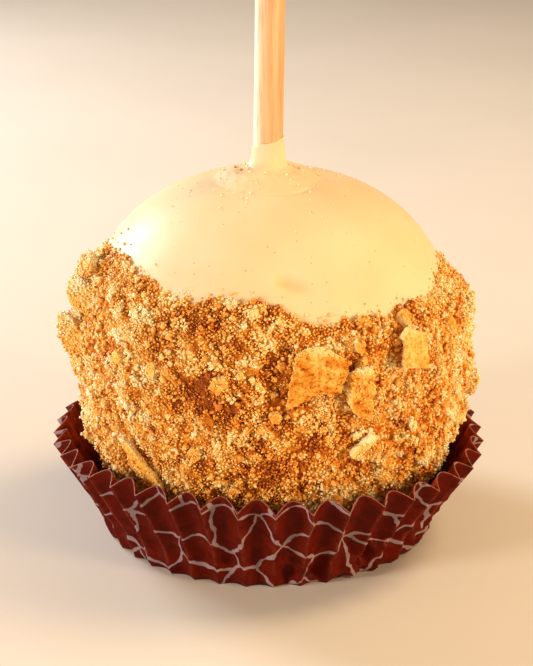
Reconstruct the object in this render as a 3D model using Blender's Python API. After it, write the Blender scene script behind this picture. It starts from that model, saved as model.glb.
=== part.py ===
"""A caramel apple on a stick, rolled in biscuit crumbs and set in a pleated paper case.

Metres, +Z up. The origin is the centre of the case's underside and the front is -Y.
Azimuths turn about Z from the front towards +X.
"""
import math

import bmesh
import bpy
from mathutils import Matrix, Vector, noise

MM = 0.001
GAP = 0.3 * MM                    # clearance between neighbouring pieces

# Paper case: a flat disc whose wall is folded into sharp outer ridges and round inner flutes
PLEATS = 40
POINTS_PER_PLEAT = 4
PAPER_THICKNESS = 0.4 * MM
FIRST_PLEAT = math.radians(1.8)
CASE_BASE_RADIUS = 34.2 * MM
CASE_RIM_RADIUS = 45.8 * MM       # over the outer ridges
CASE_HEIGHT = 20.3 * MM           # of the ridges at the rim
CASE_FOLD_SHARE = 0.12            # part of the wall taken by the rounded fold at the base
PLEAT_DEPTH_BASE = 0.5 * MM
PLEAT_DEPTH_RIM = 2.6 * MM
FLUTE_RISE = 1.9 * MM             # how much higher the rim is between the ridges
RIM_OVAL = 0.8 * MM               # the rim is pressed a little oval, longest at this azimuth
RIM_OVAL_TURN = math.radians(25)
RIM_SAG = 1.0 * MM                # and it rises and sags twice round, highest at this azimuth
RIM_SAG_TURN = math.radians(-18)
RIM_RUFFLE = 0.6 * MM             # pleat to pleat unevenness of the rim
WALL_ROWS = 3

# Apple under its coating: a ball whose lower half is squarer than its upper half
APPLE_RADIUS = 38.0 * MM
WIDEST_HEIGHT = 40.0 * MM
UPPER_HALF = 35.2 * MM
LOWER_HALF = 36.3 * MM
UPPER_POWER = 2.32
LOWER_POWER = 2.5
BODY_OFFSET = 1.15 * MM           # the apple bulges to the right of its stick, most in its lower half
DOME_OFFSET = 0.35 * MM
SWAY_START = 36.0 * MM
SWAY_END = 60.0 * MM
APPLE_SEGMENTS = 48
APPLE_ROWS = 14

# Crown: the coating that mounds up round the stick, inside a shallow ring-shaped groove
CROWN_RADIUS = 12.0 * MM
CROWN_FLAT_RADIUS = 6.5 * MM
CROWN_RISE = 1.4 * MM
GROOVE_DEPTH = 0.35 * MM
GROOVE_WIDTH = 1.2 * MM
CROWN_ROWS = 6
CROWN_HEIGHT = WIDEST_HEIGHT + UPPER_HALF + CROWN_RISE
COLLAR_FOOT_RADIUS = 3.95 * MM    # the collar of coating drawn up the stick
COLLAR_TOP_RADIUS = 3.45 * MM
COLLAR_HEIGHT = 4.9 * MM
COLLAR_SLANT = 1.2 * MM           # its top edge is higher on the right

# Stick: a round wooden dowel that leans a little to the right
STICK_RADIUS = 3.0 * MM
STICK_LENGTH = 140.0 * MM
STICK_FOOT_HEIGHT = 23.0 * MM
BORE_OVERRUN = 3.0 * MM           # how far the bore's cutter runs out above the collar
STICK_CHAMFER = 0.4 * MM
STICK_LEAN = math.radians(0.8)
STICK_SEGMENTS = 32

# Crumb coat: a bowl of crumbs round the lower apple with an uneven top edge
CRUMB_LAYER = 3.0 * MM
EDGE_LAYER = 1.1 * MM             # the layer thins out towards its top edge
EDGE_FADE = 6.0 * MM
COAT_CLEARANCE = 0.4 * MM
COAT_SEGMENTS = 60
COAT_OUTER_ROWS = 13
COAT_INNER_ROWS = 12
COAT_LUMPS = 1.8 * MM
COAT_LUMP_SIZE = 6.0 * MM
DIP_MEAN = 58.0 * MM
DIP_NIBBLE = 0.7 * MM             # fine unevenness of the dip line
DIP_NIBBLE_SIZE = 5.0 * MM
DIP_STEP = math.radians(15)
# Heights of the dip line in mm, one each step round from the front
DIP_HEIGHTS = (58.5, 54.8, 55.4, 55.6, 55.2, 57.2, 56.6, 54.8, 55.6, 57.0, 56.2, 57.6,
               58.8, 57.9, 57.2, 58.0, 56.4, 57.2, 60.0, 61.2, 61.5, 61.4, 59.2, 59.5)

# Biscuit shards: outlines in mm, right and up, seen from outside
OUTLINES = {
    "slab": ((-3.6, 4.9), (0.4, 5.6), (7.0, 2.1), (4.4, -4.4), (0.6, -3.8), (-6.5, -7.0)),
    "wedge": ((-2.8, 5.2), (2.4, 5.8), (2.9, 0.9), (2.0, -5.8), (-2.1, -2.8), (-3.2, 1.6)),
    "plate": ((-2.2, 2.6), (-0.3, 4.0), (3.8, 2.0), (4.0, -1.4), (3.3, -5.3), (-3.0, -3.8),
              (-1.4, 1.0)),
    "fan": ((-3.4, 2.4), (-1.6, 3.3), (2.7, 2.0), (3.9, -1.0), (0.8, -3.5), (-1.6, -3.2), (-4.1, -0.4)),
    "spur": ((-3.6, 5.4), (-1.3, 5.9), (1.8, 3.0), (4.0, -0.2), (1.8, -5.6), (-1.7, -4.0), (-3.9, -0.3)),
    "splinter": ((-5.0, 6.7), (-2.9, 6.5), (-0.2, 2.8), (4.8, -3.6), (4.4, -6.2), (1.9, -6.7),
                 (-1.9, -0.3)),
    "baton": ((-3.5, 0.9), (3.1, 1.2), (3.6, -0.9), (-3.0, -1.2)),
    "nugget": ((-1.6, 2.8), (0.6, 3.3), (2.0, 1.4), (1.8, -1.8), (0.2, -3.3), (-1.7, -2.0)),
}
SHARD_BEVEL = 0.35 * MM
SHARD_TAPER = 0.82                # the sunk face is smaller than the outer one
SHARD_SHARP_ANGLE = math.radians(30)

# name: outline, azimuth and height of its place, turn, tip and swing in degrees, stand-off, thickness
SHARDS = {
    "front_slab": ("slab", 11.2, 47.7, 0, 5, -3, 2.2, 3.0),
    "front_wedge": ("wedge", 23.3, 42.7, 0, 2, 6, 2.0, 2.8),
    "right_plate": ("plate", 39.3, 49.9, 0, 9, -6, 1.9, 1.5),
    "left_nugget": ("nugget", -73.0, 59.3, 50, 0, 10, 1.1, 2.0),
    "left_fan": ("fan", -69.5, 53.9, 0, 0, 36, 0.9, 1.8),
    "left_spur": ("spur", -73.0, 43.9, 0, -8, 38, 1.0, 2.4),
    "left_splinter": ("splinter", -39.8, 24.4, 0, 0, 0, 1.3, 1.6),
    "front_baton": ("baton", 24.3, 31.9, 41, 0, -4, 1.3, 1.9),
    "right_nugget": ("nugget", 84.0, 32.0, 8, 0, 0, 1.3, 2.6),
    "back_plate": ("plate", 118.0, 40.0, 150, 6, 4, 1.7, 1.6),
    "back_slab": ("slab", 158.0, 46.0, 200, 4, 0, 2.0, 2.8),
    "back_baton": ("baton", -165.0, 32.0, 70, 0, 3, 1.3, 1.7),
    "back_wedge": ("wedge", -138.0, 44.0, 250, 3, -4, 1.9, 2.6),
    "back_splinter": ("splinter", -112.0, 28.0, 25, 0, 0, 1.3, 1.6),
}

# Colours, in linear light
CREAM = (0.88, 0.72, 0.42)
CRUMB = (0.62, 0.32, 0.11)
BISCUIT = (0.66, 0.36, 0.13)
PAPER_BROWN = (0.11, 0.024, 0.012)
WOOD = (0.80, 0.56, 0.32)


def smooth_share(value, start, end):
    """0 at start, 1 at end, with an even slope at both."""
    share = min(max((value - start) / (end - start), 0.0), 1.0)
    return share * share * (3 - 2 * share)


def ball_point(angle, layer):
    """Radius and height of the ball's side, a layer outside the apple, at an angle above its middle."""
    half, power = (UPPER_HALF, UPPER_POWER) if angle > 0 else (LOWER_HALF, LOWER_POWER)
    across = math.cos(angle) ** (2 / power)
    rise = abs(math.sin(angle)) ** (2 / power)
    return (APPLE_RADIUS + layer) * across, WIDEST_HEIGHT + math.copysign((half + layer) * rise, angle)


def ball_radius(height, layer):
    """Radius of the same ball at a height."""
    above = height > WIDEST_HEIGHT
    half, power = (UPPER_HALF, UPPER_POWER) if above else (LOWER_HALF, LOWER_POWER)
    share = min(abs(height - WIDEST_HEIGHT) / (half + layer), 1.0)
    return (APPLE_RADIUS + layer) * (1 - share ** power) ** (1 / power)


def ball_angle(height, layer):
    """Angle at which the ball's side reaches a height above its widest level."""
    return math.asin(((height - WIDEST_HEIGHT) / (UPPER_HALF + layer)) ** (UPPER_POWER / 2))


def sway(height):
    """Sideways place of the apple's middle at a height."""
    dome = (DOME_OFFSET - BODY_OFFSET) * smooth_share(height, SWAY_START, SWAY_END)
    crown = -DOME_OFFSET * smooth_share(height, CROWN_HEIGHT - 2 * CROWN_RISE, CROWN_HEIGHT)
    return BODY_OFFSET + dome + crown


def dip_height(azimuth):
    """Height of the crumbs' top edge: eased between the given heights, then nibbled."""
    place = (azimuth % (2 * math.pi)) / DIP_STEP
    index = int(place)
    low, high = (DIP_HEIGHTS[(index + step) % len(DIP_HEIGHTS)] * MM for step in (0, 1))
    height = low + (high - low) * smooth_share(place, index, index + 1)
    around = Vector((math.sin(azimuth), math.cos(azimuth), 0)) * APPLE_RADIUS / DIP_NIBBLE_SIZE
    return height + DIP_NIBBLE * noise.noise(around)


def material(name, colour, roughness):
    result = bpy.data.materials.new(name)
    result.use_nodes = True
    shader = result.node_tree.nodes["Principled BSDF"]
    shader.inputs["Base Color"].default_value = (*colour, 1)
    shader.inputs["Roughness"].default_value = roughness
    shader.inputs["Metallic"].default_value = 0
    return result


def add_object(name, mesh_builder, surface=None, sharp_angle=math.radians(40)):
    """Turn a bmesh into an object, with its faces pointing out and its round sides smooth."""
    bmesh.ops.recalc_face_normals(mesh_builder, faces=mesh_builder.faces)
    mesh = bpy.data.meshes.new(name)
    mesh_builder.to_mesh(mesh)
    mesh_builder.free()
    mesh.shade_smooth()
    mesh.set_sharp_from_angle(angle=sharp_angle)
    if surface:
        mesh.materials.append(surface)
    result = bpy.data.objects.new(name, mesh)
    bpy.context.scene.collection.objects.link(result)
    return result


def make_cutter(result):
    result.display_type = "WIRE"
    result.hide_render = True


def cut(result, cutter):
    modifier = result.modifiers.new(cutter.name, "BOOLEAN")
    modifier.operation = "DIFFERENCE"
    modifier.solver = "EXACT"
    modifier.object = cutter


def turned(profile, segments):
    """A closed body made by spinning a profile that starts and ends on the axis."""
    builder = bmesh.new()
    points = [builder.verts.new((radius, 0, height)) for radius, height in profile]
    edges = [builder.edges.new(pair) for pair in zip(points, points[1:])]
    bmesh.ops.spin(builder, geom=points + edges, axis=(0, 0, 1), cent=(0, 0, 0),
                   angle=2 * math.pi, steps=segments, use_merge=True)
    bmesh.ops.remove_doubles(builder, verts=builder.verts, dist=0.001 * MM)
    return builder


def azimuth_of(point):
    return math.atan2(point.x, -point.y)


def paper_case():
    """A thin disc with its wall pulled up in rows, each row pleated a little deeper."""
    def place(point, share):
        azimuth = azimuth_of(point)
        pleat = abs(math.sin((azimuth - FIRST_PLEAT) * PLEATS / 2))
        side = Vector((math.sin(azimuth), -math.cos(azimuth), 0))
        fold = smooth_share(share, 0, 2 * CASE_FOLD_SHARE) * CASE_FOLD_SHARE
        rise = fold + share * (1 - CASE_FOLD_SHARE)
        depth = PLEAT_DEPTH_BASE + (PLEAT_DEPTH_RIM - PLEAT_DEPTH_BASE) * share
        ruffle = RIM_RUFFLE * noise.noise(side * PLEATS / 5)
        spread = ruffle + RIM_OVAL * math.cos(2 * (azimuth - RIM_OVAL_TURN))
        lift = ruffle + FLUTE_RISE * pleat + RIM_SAG * math.cos(2 * (azimuth - RIM_SAG_TURN))
        flare = CASE_RIM_RADIUS - CASE_BASE_RADIUS + spread
        radius = CASE_BASE_RADIUS + flare * share - depth * pleat
        return side * radius + Vector((0, 0, CASE_HEIGHT * rise + lift * share))

    builder = bmesh.new()
    bmesh.ops.create_circle(builder, cap_ends=True, segments=PLEATS * POINTS_PER_PLEAT,
                            radius=CASE_BASE_RADIUS,
                            matrix=Matrix.Rotation(FIRST_PLEAT - math.pi / 2, 4, "Z"))
    ring = list(builder.edges)
    for point in builder.verts:
        point.co = place(point.co, 0)
    for row in range(1, WALL_ROWS + 1):
        grown = bmesh.ops.extrude_edge_only(builder, edges=ring)["geom"]
        ring = [item for item in grown if isinstance(item, bmesh.types.BMEdge) and item.is_boundary]
        for point in {point for edge in ring for point in edge.verts}:
            point.co = place(point.co, row / WALL_ROWS)
    bmesh.ops.recalc_face_normals(builder, faces=builder.faces)
    builder.faces.ensure_lookup_table()
    if builder.faces[0].normal.z > 0:
        bmesh.ops.reverse_faces(builder, faces=builder.faces)
    mesh = bpy.data.meshes.new("paper_case")
    builder.to_mesh(mesh)
    builder.free()
    mesh.materials.append(material("dark_brown_paper", PAPER_BROWN, 0.5))
    result = bpy.data.objects.new("paper_case", mesh)
    bpy.context.scene.collection.objects.link(result)
    solid = result.modifiers.new("paper", "SOLIDIFY")
    solid.thickness = PAPER_THICKNESS
    solid.offset = -1
    solid.use_even_offset = True
    return result


def stick_matrix():
    """The stick's frame: its axis passes the middle of the crown and leans to the right."""
    return Matrix.Translation((0, 0, CROWN_HEIGHT)) @ Matrix.Rotation(STICK_LEAN, 4, "Y")


def dowel(name, radius, foot, top, chamfer):
    """A round rod along Z between two heights of the stick's frame."""
    profile = [(0, foot), (radius - chamfer, foot), (radius, foot + chamfer),
               (radius, top - chamfer), (radius - chamfer, top), (0, top)]
    builder = turned(profile, STICK_SEGMENTS)
    result = add_object(name, builder)
    result.matrix_world = stick_matrix()
    return result


def stick():
    foot = STICK_FOOT_HEIGHT - CROWN_HEIGHT
    result = dowel("stick", STICK_RADIUS, foot, foot + STICK_LENGTH, STICK_CHAMFER)
    result.data.materials.append(material("birch_wood", WOOD, 0.6))
    return result


def dipped_apple():
    """The coated apple, spun round, with its crown moved to the stick and a bore for the stick."""
    first_angle = -math.pi / 2
    last_angle = math.acos((CROWN_RADIUS / APPLE_RADIUS) ** (UPPER_POWER / 2))
    profile = []
    for row in range(APPLE_ROWS + 1):
        radius, height = ball_point(first_angle + (last_angle - first_angle) * row / APPLE_ROWS, 0)
        profile.append((radius if row else 0, height))
    for row in range(1, CROWN_ROWS + 1):
        radius = CROWN_RADIUS + (COLLAR_FOOT_RADIUS - CROWN_RADIUS) * row / CROWN_ROWS
        share = (radius / APPLE_RADIUS) ** UPPER_POWER
        height = WIDEST_HEIGHT + UPPER_HALF * (1 - share) ** (1 / UPPER_POWER)
        height += CROWN_RISE * smooth_share(radius, CROWN_RADIUS, CROWN_FLAT_RADIUS)
        height -= GROOVE_DEPTH * math.exp(-((radius - CROWN_RADIUS) / GROOVE_WIDTH) ** 2)
        profile.append((radius, height))
    foot_height = profile[-1][1]
    collar_middle = (COLLAR_FOOT_RADIUS + 2 * COLLAR_TOP_RADIUS) / 3
    profile += [(collar_middle, foot_height + 0.3 * COLLAR_HEIGHT),
                (COLLAR_TOP_RADIUS, foot_height + COLLAR_HEIGHT),
                (0, foot_height + COLLAR_HEIGHT)]
    builder = turned(profile, APPLE_SEGMENTS)
    for point in builder.verts:
        collar = smooth_share(point.co.z, foot_height, foot_height + COLLAR_HEIGHT)
        point.co.z += COLLAR_SLANT * collar * point.co.x / COLLAR_TOP_RADIUS
        point.co.x += sway(point.co.z)
    result = add_object("dipped_apple", builder, material("cream_coating", CREAM, 0.3))
    bore_foot = STICK_FOOT_HEIGHT - CROWN_HEIGHT - GAP
    bore_top = foot_height + COLLAR_HEIGHT + BORE_OVERRUN - CROWN_HEIGHT
    bore = dowel("stick_bore", STICK_RADIUS + GAP, bore_foot, bore_top, 0)
    make_cutter(bore)
    cut(result, bore)
    return result


def coat_matrix(azimuth, height):
    """A frame on the crumbs' outer side: right along the side, up it, and out of it."""
    step = 0.5 * MM
    middle = Vector((sway(height), 0, height))
    side = Vector((math.sin(azimuth), -math.cos(azimuth), 0))
    right = Vector((math.cos(azimuth), math.sin(azimuth), 0))
    low, high = (ball_radius(height + shift, CRUMB_LAYER) for shift in (-step, step))
    up = (side * (high - low) + Vector((0, 0, 2 * step))).normalized()
    out = right.cross(up)
    turn = Matrix((right, up, out)).transposed().to_4x4()
    return Matrix.Translation(side * (low + high) / 2 + middle) @ turn


def shard_body(outline, thickness, grow):
    """A slab of biscuit with blunted edges, smaller on its sunk side, pushed out by grow all round."""
    builder = bmesh.new()
    corners = [builder.verts.new((right * MM, up * MM, 0)) for right, up in outline]
    face = builder.faces.new(corners)
    sunk = bmesh.ops.extrude_face_region(builder, geom=[face])["geom"]
    for point in (item for item in sunk if isinstance(item, bmesh.types.BMVert)):
        point.co = Vector((point.co.x * SHARD_TAPER, point.co.y * SHARD_TAPER, -thickness))
    bmesh.ops.recalc_face_normals(builder, faces=builder.faces)
    bmesh.ops.bevel(builder, geom=builder.edges[:], offset=SHARD_BEVEL, segments=1,
                    profile=0.5, affect="EDGES", material=-1)
    builder.normal_update()
    if grow:
        moved = [(point, point.co + point.normal * grow * point.calc_shell_factor())
                 for point in builder.verts]
        for point, target in moved:
            point.co = target
    return builder


def shard(name, surface):
    """One biscuit shard and the cutter of its pocket in the crumb coat."""
    kind, azimuth, height, turn, tip, swing, stand_off, thickness = SHARDS[name]
    angles = [math.radians(angle) for angle in (turn, tip, swing)]
    place = coat_matrix(math.radians(azimuth), height * MM) @ Matrix.Translation((0, 0, stand_off * MM))
    place @= Matrix.Rotation(angles[2], 4, "Y") @ Matrix.Rotation(-angles[1], 4, "X")
    place @= Matrix.Rotation(angles[0], 4, "Z")
    pieces = []
    for label, grow in (("biscuit_" + name, 0), ("pocket_" + name, GAP)):
        body = shard_body(OUTLINES[kind], thickness * MM, grow)
        piece = add_object(label, body, surface, SHARD_SHARP_ANGLE)
        piece.matrix_world = place
        pieces.append(piece)
    make_cutter(pieces[1])
    return pieces


def crumb_coat(pockets):
    """The bowl of crumbs: spun evenly, then bent to the dip line and made lumpy outside."""
    floor = -math.pi / 2
    outer_top, inner_top = (ball_angle(DIP_MEAN, layer) for layer in (CRUMB_LAYER, COAT_CLEARANCE))
    outer = [ball_point(floor + (outer_top - floor) * row / COAT_OUTER_ROWS, CRUMB_LAYER)
             for row in range(COAT_OUTER_ROWS + 1)]
    inner = [ball_point(floor + (inner_top - floor) * row / COAT_INNER_ROWS, COAT_CLEARANCE)
             for row in range(COAT_INNER_ROWS + 1)]
    outer[0] = (0, outer[0][1])
    inner[0] = (0, inner[0][1])
    builder = turned(outer + inner[::-1], COAT_SEGMENTS)
    for point in builder.verts:
        radius = math.hypot(point.co.x, point.co.y)
        azimuth = azimuth_of(point.co)
        height = point.co.z
        beside = radius > ball_radius(height, CRUMB_LAYER / 2)
        outside = beside or height < WIDEST_HEIGHT - LOWER_HALF - CRUMB_LAYER / 2
        edge = dip_height(azimuth)
        raised = height + (edge - DIP_MEAN) * smooth_share(height, WIDEST_HEIGHT, DIP_MEAN)
        thinning = smooth_share(raised, edge - EDGE_FADE, edge)
        thinned = CRUMB_LAYER + (EDGE_LAYER - CRUMB_LAYER) * thinning
        spread = ball_radius(raised, thinned if outside else COAT_CLEARANCE)
        if outside and radius:
            lumps = noise.noise(point.co / COAT_LUMP_SIZE)
            spread += COAT_LUMPS * lumps * smooth_share(height, 0, WIDEST_HEIGHT / 2)
        scale = spread / radius if radius and height > WIDEST_HEIGHT / 3 else 1
        point.co = Vector((point.co.x * scale + sway(raised), point.co.y * scale, raised))
    result = add_object("crumb_coat", builder, material("biscuit_crumbs", CRUMB, 0.8))
    for pocket in pockets:
        cut(result, pocket)
    return result


def main():
    for leftover in list(bpy.data.objects):
        bpy.data.objects.remove(leftover)
    paper_case()
    stick()
    dipped_apple()
    biscuit = material("biscuit", BISCUIT, 0.75)
    pieces = [shard(name, biscuit) for name in SHARDS]
    crumb_coat([pocket for _, pocket in pieces])


main()
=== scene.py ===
"""A caramel apple on a birch stick, dipped in cream coating, rolled in biscuit crumbs and stood in a
pleated paper case. Metres, +Z up, the front towards -Y.

The file follows the making of it: the stick, the dipped apple, the crumbs, the biscuit pressed into
them and the paper case, and then the table, lights and camera.
"""

import math

import bmesh
import bpy
import numpy as np
from mathutils import Matrix, Vector, noise


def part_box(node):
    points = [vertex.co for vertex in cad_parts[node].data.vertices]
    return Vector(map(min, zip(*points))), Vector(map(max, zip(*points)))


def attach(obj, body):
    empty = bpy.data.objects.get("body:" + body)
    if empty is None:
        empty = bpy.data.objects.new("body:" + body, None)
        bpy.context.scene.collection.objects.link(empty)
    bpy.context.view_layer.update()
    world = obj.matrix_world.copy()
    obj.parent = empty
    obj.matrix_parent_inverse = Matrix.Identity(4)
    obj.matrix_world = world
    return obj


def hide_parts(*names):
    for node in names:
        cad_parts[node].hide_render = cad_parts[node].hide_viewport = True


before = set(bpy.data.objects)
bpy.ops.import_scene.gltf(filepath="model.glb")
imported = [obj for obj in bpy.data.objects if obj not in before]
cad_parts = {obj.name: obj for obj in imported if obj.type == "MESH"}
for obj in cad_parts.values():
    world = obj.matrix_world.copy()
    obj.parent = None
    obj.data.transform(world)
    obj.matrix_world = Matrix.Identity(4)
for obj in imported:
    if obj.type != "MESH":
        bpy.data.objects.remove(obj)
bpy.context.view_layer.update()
MM = 0.001


# ---- Stick ------------------------------------------------------------------------------------
# A birch dowel pushed into the core of the apple before it is dipped. It is planed round along the
# grain, so fine fibres run its whole length, and its end is sawn flat with the edge just broken.

STICK_RADIUS = 3.0 * MM
STICK_EDGE = 0.35 * MM            # the broken edge at each end
STICK_SIDES = 72
STICK_RINGS = 56
PLANING_WAVER = 0.05 * MM         # how far the planed side wavers
PLANING_LENGTH = 14.0 * MM
BIRCH_PALE = (0.78, 0.45, 0.23)
BIRCH_WARM = (0.70, 0.32, 0.11)
BIRCH_FIBRE = (0.52, 0.20, 0.06)
STICK_PAINTED_HIGHLIGHT = (0.92, 0.80, 0.64)      # painted highlight: the left side of the dowel is painted paler
HIGHLIGHT_EDGE = -0.78              # shares of the radius between which it fades out
HIGHLIGHT_END = -0.3

stick_low, stick_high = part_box("stick")
stick_foot = Vector((stick_low.x + STICK_RADIUS, 0, stick_low.z))
stick_head = Vector((stick_high.x - STICK_RADIUS, 0, stick_high.z))
stick_line = (stick_head - stick_foot).normalized()


def placed(tree, kind, inputs=None, **settings):
    """Add a shader node, setting its inputs to numbers or linking them to other nodes' outputs."""
    added = tree.nodes.new(kind)
    for name, value in settings.items():
        setattr(added, name, value)
    for name, value in (inputs or {}).items():
        if isinstance(value, bpy.types.NodeSocket):
            tree.links.new(value, added.inputs[name])
        else:
            added.inputs[name].default_value = value
    return added


def colour_steps(tree, share, steps):
    """A colour ramp over share with the given (place, colour) steps, and its colour output."""
    ramp = placed(tree, "ShaderNodeValToRGB", {"Fac": share})
    while len(ramp.color_ramp.elements) < len(steps):
        ramp.color_ramp.elements.new(0.5)
    for element, (place, colour) in zip(ramp.color_ramp.elements, steps):
        element.position = place
        element.color = (*colour, 1)
    return ramp.outputs["Color"]


def stretch(tree, value, low, high, to_low=0.0, to_high=1.0):
    """Map the range low to high of a value smoothly onto another range, and clamp it there."""
    mapped = placed(tree, "ShaderNodeMapRange", {"Value": value, "From Min": low, "From Max": high,
                                                 "To Min": to_low, "To Max": to_high},
                    interpolation_type="SMOOTHSTEP")
    return mapped.outputs["Result"]


def sum_of(tree, operation, first, second):
    """One arithmetic step between two values."""
    return placed(tree, "ShaderNodeMath", {0: first, 1: second}, operation=operation).outputs[0]


def finish(name, **plain):
    """A material with its Principled shader, whose plain inputs are given by name."""
    made = bpy.data.materials.new(name)
    made.use_nodes = True
    shader = made.node_tree.nodes["Principled BSDF"]
    for socket, value in plain.items():
        shader.inputs[socket.replace("_", " ")].default_value = value
    return made, made.node_tree, shader


def spun(profile, sides):
    """A closed body made by spinning a profile, given as (radius, height) from axis to axis."""
    body = bmesh.new()
    points = [body.verts.new((radius, 0, height)) for radius, height in profile]
    edges = [body.edges.new(pair) for pair in zip(points, points[1:])]
    bmesh.ops.spin(body, geom=points + edges, axis=(0, 0, 1), cent=(0, 0, 0),
                   angle=2 * math.pi, steps=sides, use_merge=True)
    bmesh.ops.remove_doubles(body, verts=body.verts, dist=0.0005 * MM)
    bmesh.ops.recalc_face_normals(body, faces=body.faces)
    return body


def made_piece(name, body, finishes, stands_for=()):
    """Turn a mesh or bmesh into a smooth piece of the part, and hide the parts it stands for."""
    mesh = body
    if isinstance(body, bmesh.types.BMesh):
        mesh = bpy.data.meshes.new(name)
        body.to_mesh(mesh)
        body.free()
    mesh.shade_smooth()
    for each in finishes:
        mesh.materials.append(each)
    piece = bpy.data.objects.new(name, mesh)
    bpy.context.scene.collection.objects.link(piece)
    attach(piece, "root")
    if stands_for:
        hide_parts(*stands_for)
    return piece


def birch():
    """Planed birch: long pale fibres and darker pores between them."""
    made, tree, shader = finish("planed_birch", Roughness=0.4)
    shader.inputs["Specular IOR Level"].default_value = 0.6
    shader.inputs["Coat Weight"].default_value = 0.35
    shader.inputs["Coat Roughness"].default_value = 0.35
    place = placed(tree, "ShaderNodeTexCoord").outputs["Object"]
    along = placed(tree, "ShaderNodeMapping", {"Vector": place, "Scale": (1, 1, 0.035)}).outputs[0]
    broad = placed(tree, "ShaderNodeTexNoise", {"Vector": along, "Scale": 420, "Detail": 3})
    fibre = placed(tree, "ShaderNodeTexNoise", {"Vector": along, "Scale": 2600, "Detail": 4,
                                                "Roughness": 0.6})
    pore = placed(tree, "ShaderNodeTexVoronoi", {"Vector": along, "Scale": 1900})
    grain = colour_steps(tree, broad.outputs["Fac"],
                         ((0.3, BIRCH_WARM), (0.5, BIRCH_PALE), (0.72, BIRCH_WARM)))
    # Painted highlight: the left side of the dowel is painted paler.
    sideways = placed(tree, "ShaderNodeSeparateXYZ", {"Vector": place}).outputs["X"]
    left_highlight = stretch(tree, sideways, HIGHLIGHT_EDGE * STICK_RADIUS, HIGHLIGHT_END * STICK_RADIUS, 0.8, 0.0)
    grain = placed(tree, "ShaderNodeMix", {"Factor": left_highlight, 6: grain, 7: (*STICK_PAINTED_HIGHLIGHT, 1)},
                   data_type="RGBA").outputs[2]
    streaks = stretch(tree, fibre.outputs["Fac"], 0.5, 0.7, 0.0, 0.7)
    streaked = placed(tree, "ShaderNodeMix", {"Factor": streaks, 6: grain, 7: (*BIRCH_FIBRE, 1)},
                      data_type="RGBA").outputs[2]
    dots = stretch(tree, pore.outputs["Distance"], 0.16, 0.05, 0.0, 0.35)
    pored = placed(tree, "ShaderNodeMix", {"Factor": dots, 6: streaked, 7: (*BIRCH_FIBRE, 1)},
                   data_type="RGBA").outputs[2]
    tree.links.new(pored, shader.inputs["Base Color"])
    bump = placed(tree, "ShaderNodeBump", {"Height": fibre.outputs["Fac"], "Strength": 0.35,
                                           "Distance": 0.12 * MM})
    tree.links.new(bump.outputs["Normal"], shader.inputs["Normal"])
    return made


stick_length = (stick_head - stick_foot).length
stick_profile = [(0, 0), (STICK_RADIUS - STICK_EDGE, 0)]
stick_profile += [(STICK_RADIUS, STICK_EDGE + (stick_length - 2 * STICK_EDGE) * ring / STICK_RINGS)
                  for ring in range(STICK_RINGS + 1)]
stick_profile += [(STICK_RADIUS - STICK_EDGE, stick_length), (0, stick_length)]
stick_body = spun(stick_profile, STICK_SIDES)
for point in stick_body.verts:
    side = Vector((point.co.x, point.co.y, 0))
    waver = noise.noise(Vector((side.x * 300, side.y * 300, point.co.z / PLANING_LENGTH)))
    point.co -= side.normalized() * PLANING_WAVER * (0.5 + waver)
stick_turn = Vector((0, 0, 1)).rotation_difference(stick_line).to_matrix().to_4x4()
bmesh.ops.transform(stick_body, matrix=Matrix.Translation(stick_foot) @ stick_turn,
                    verts=stick_body.verts)
stick = made_piece("birch_stick", stick_body, [birch()], ["stick"])
stick.data.set_sharp_from_angle(angle=math.radians(35))


# ---- Dipped apple -----------------------------------------------------------------------------
# The apple under a smooth coat of cream-coloured caramel. It was held by its stick while it was
# dipped, so the coat is drawn up the stick in a collar, mounds up round it inside a soft crease,
# and has a few shallow dents lower down. Crumb dust and shavings of coating stick near the crown.

apple_low, apple_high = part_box("dipped_apple")
APPLE_RADIUS = (apple_high.x - apple_low.x) / 2
APPLE_MIDDLE = (apple_low.x + apple_high.x) / 2   # it bulges to the right of its stick
WIDEST = 40.0 * MM                # height of its widest level
UPPER_HALF = 35.2 * MM
LOWER_HALF = WIDEST - apple_low.z
UPPER_SQUARENESS = 2.32
LOWER_SQUARENESS = 2.5
DOME_MIDDLE = 0.35 * MM           # the dome sits nearer to the stick than the body does
SHIFT_START = 36.0 * MM
SHIFT_END = 60.0 * MM
CROWN_RADIUS = 12.0 * MM
CROWN_FLAT_RADIUS = 6.5 * MM
CROWN_RISE = 1.2 * MM
CROWN_TOP = WIDEST + UPPER_HALF + CROWN_RISE
CREASE_RADIUS = 11.3 * MM
CREASE_WIDTH = 0.6 * MM
CREASE_DEPTH = 0.26 * MM
CREASE_TURN = math.radians(25)    # the crease is deepest at the front right
CROWN_ROUGHNESS = 0.12 * MM       # crumbs and shavings under the skin roughen the crown
COLLAR_FOOT_RADIUS = 4.4 * MM
COLLAR_SLEEVE_RADIUS = 3.55 * MM
COLLAR_TOP_RADIUS = 3.17 * MM
COLLAR_HEIGHT = apple_high.z - CROWN_TOP - 1.2 * MM
COLLAR_SLANT = 0.8 * MM           # its top edge is higher on the right
COLLAR_FILLET = 0.75 * MM         # the coat sweeps up to the collar's foot
COLLAR_FILLET_REACH = 1.3 * MM
APPLE_SIDES = 208
APPLE_ROWS = 96
CROWN_ROWS = 40
COLLAR_ROWS = 14
FLOW_DEPTH = 0.22 * MM            # slow unevenness of the coat
FLOW_SIZE = 15.0 * MM
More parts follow.
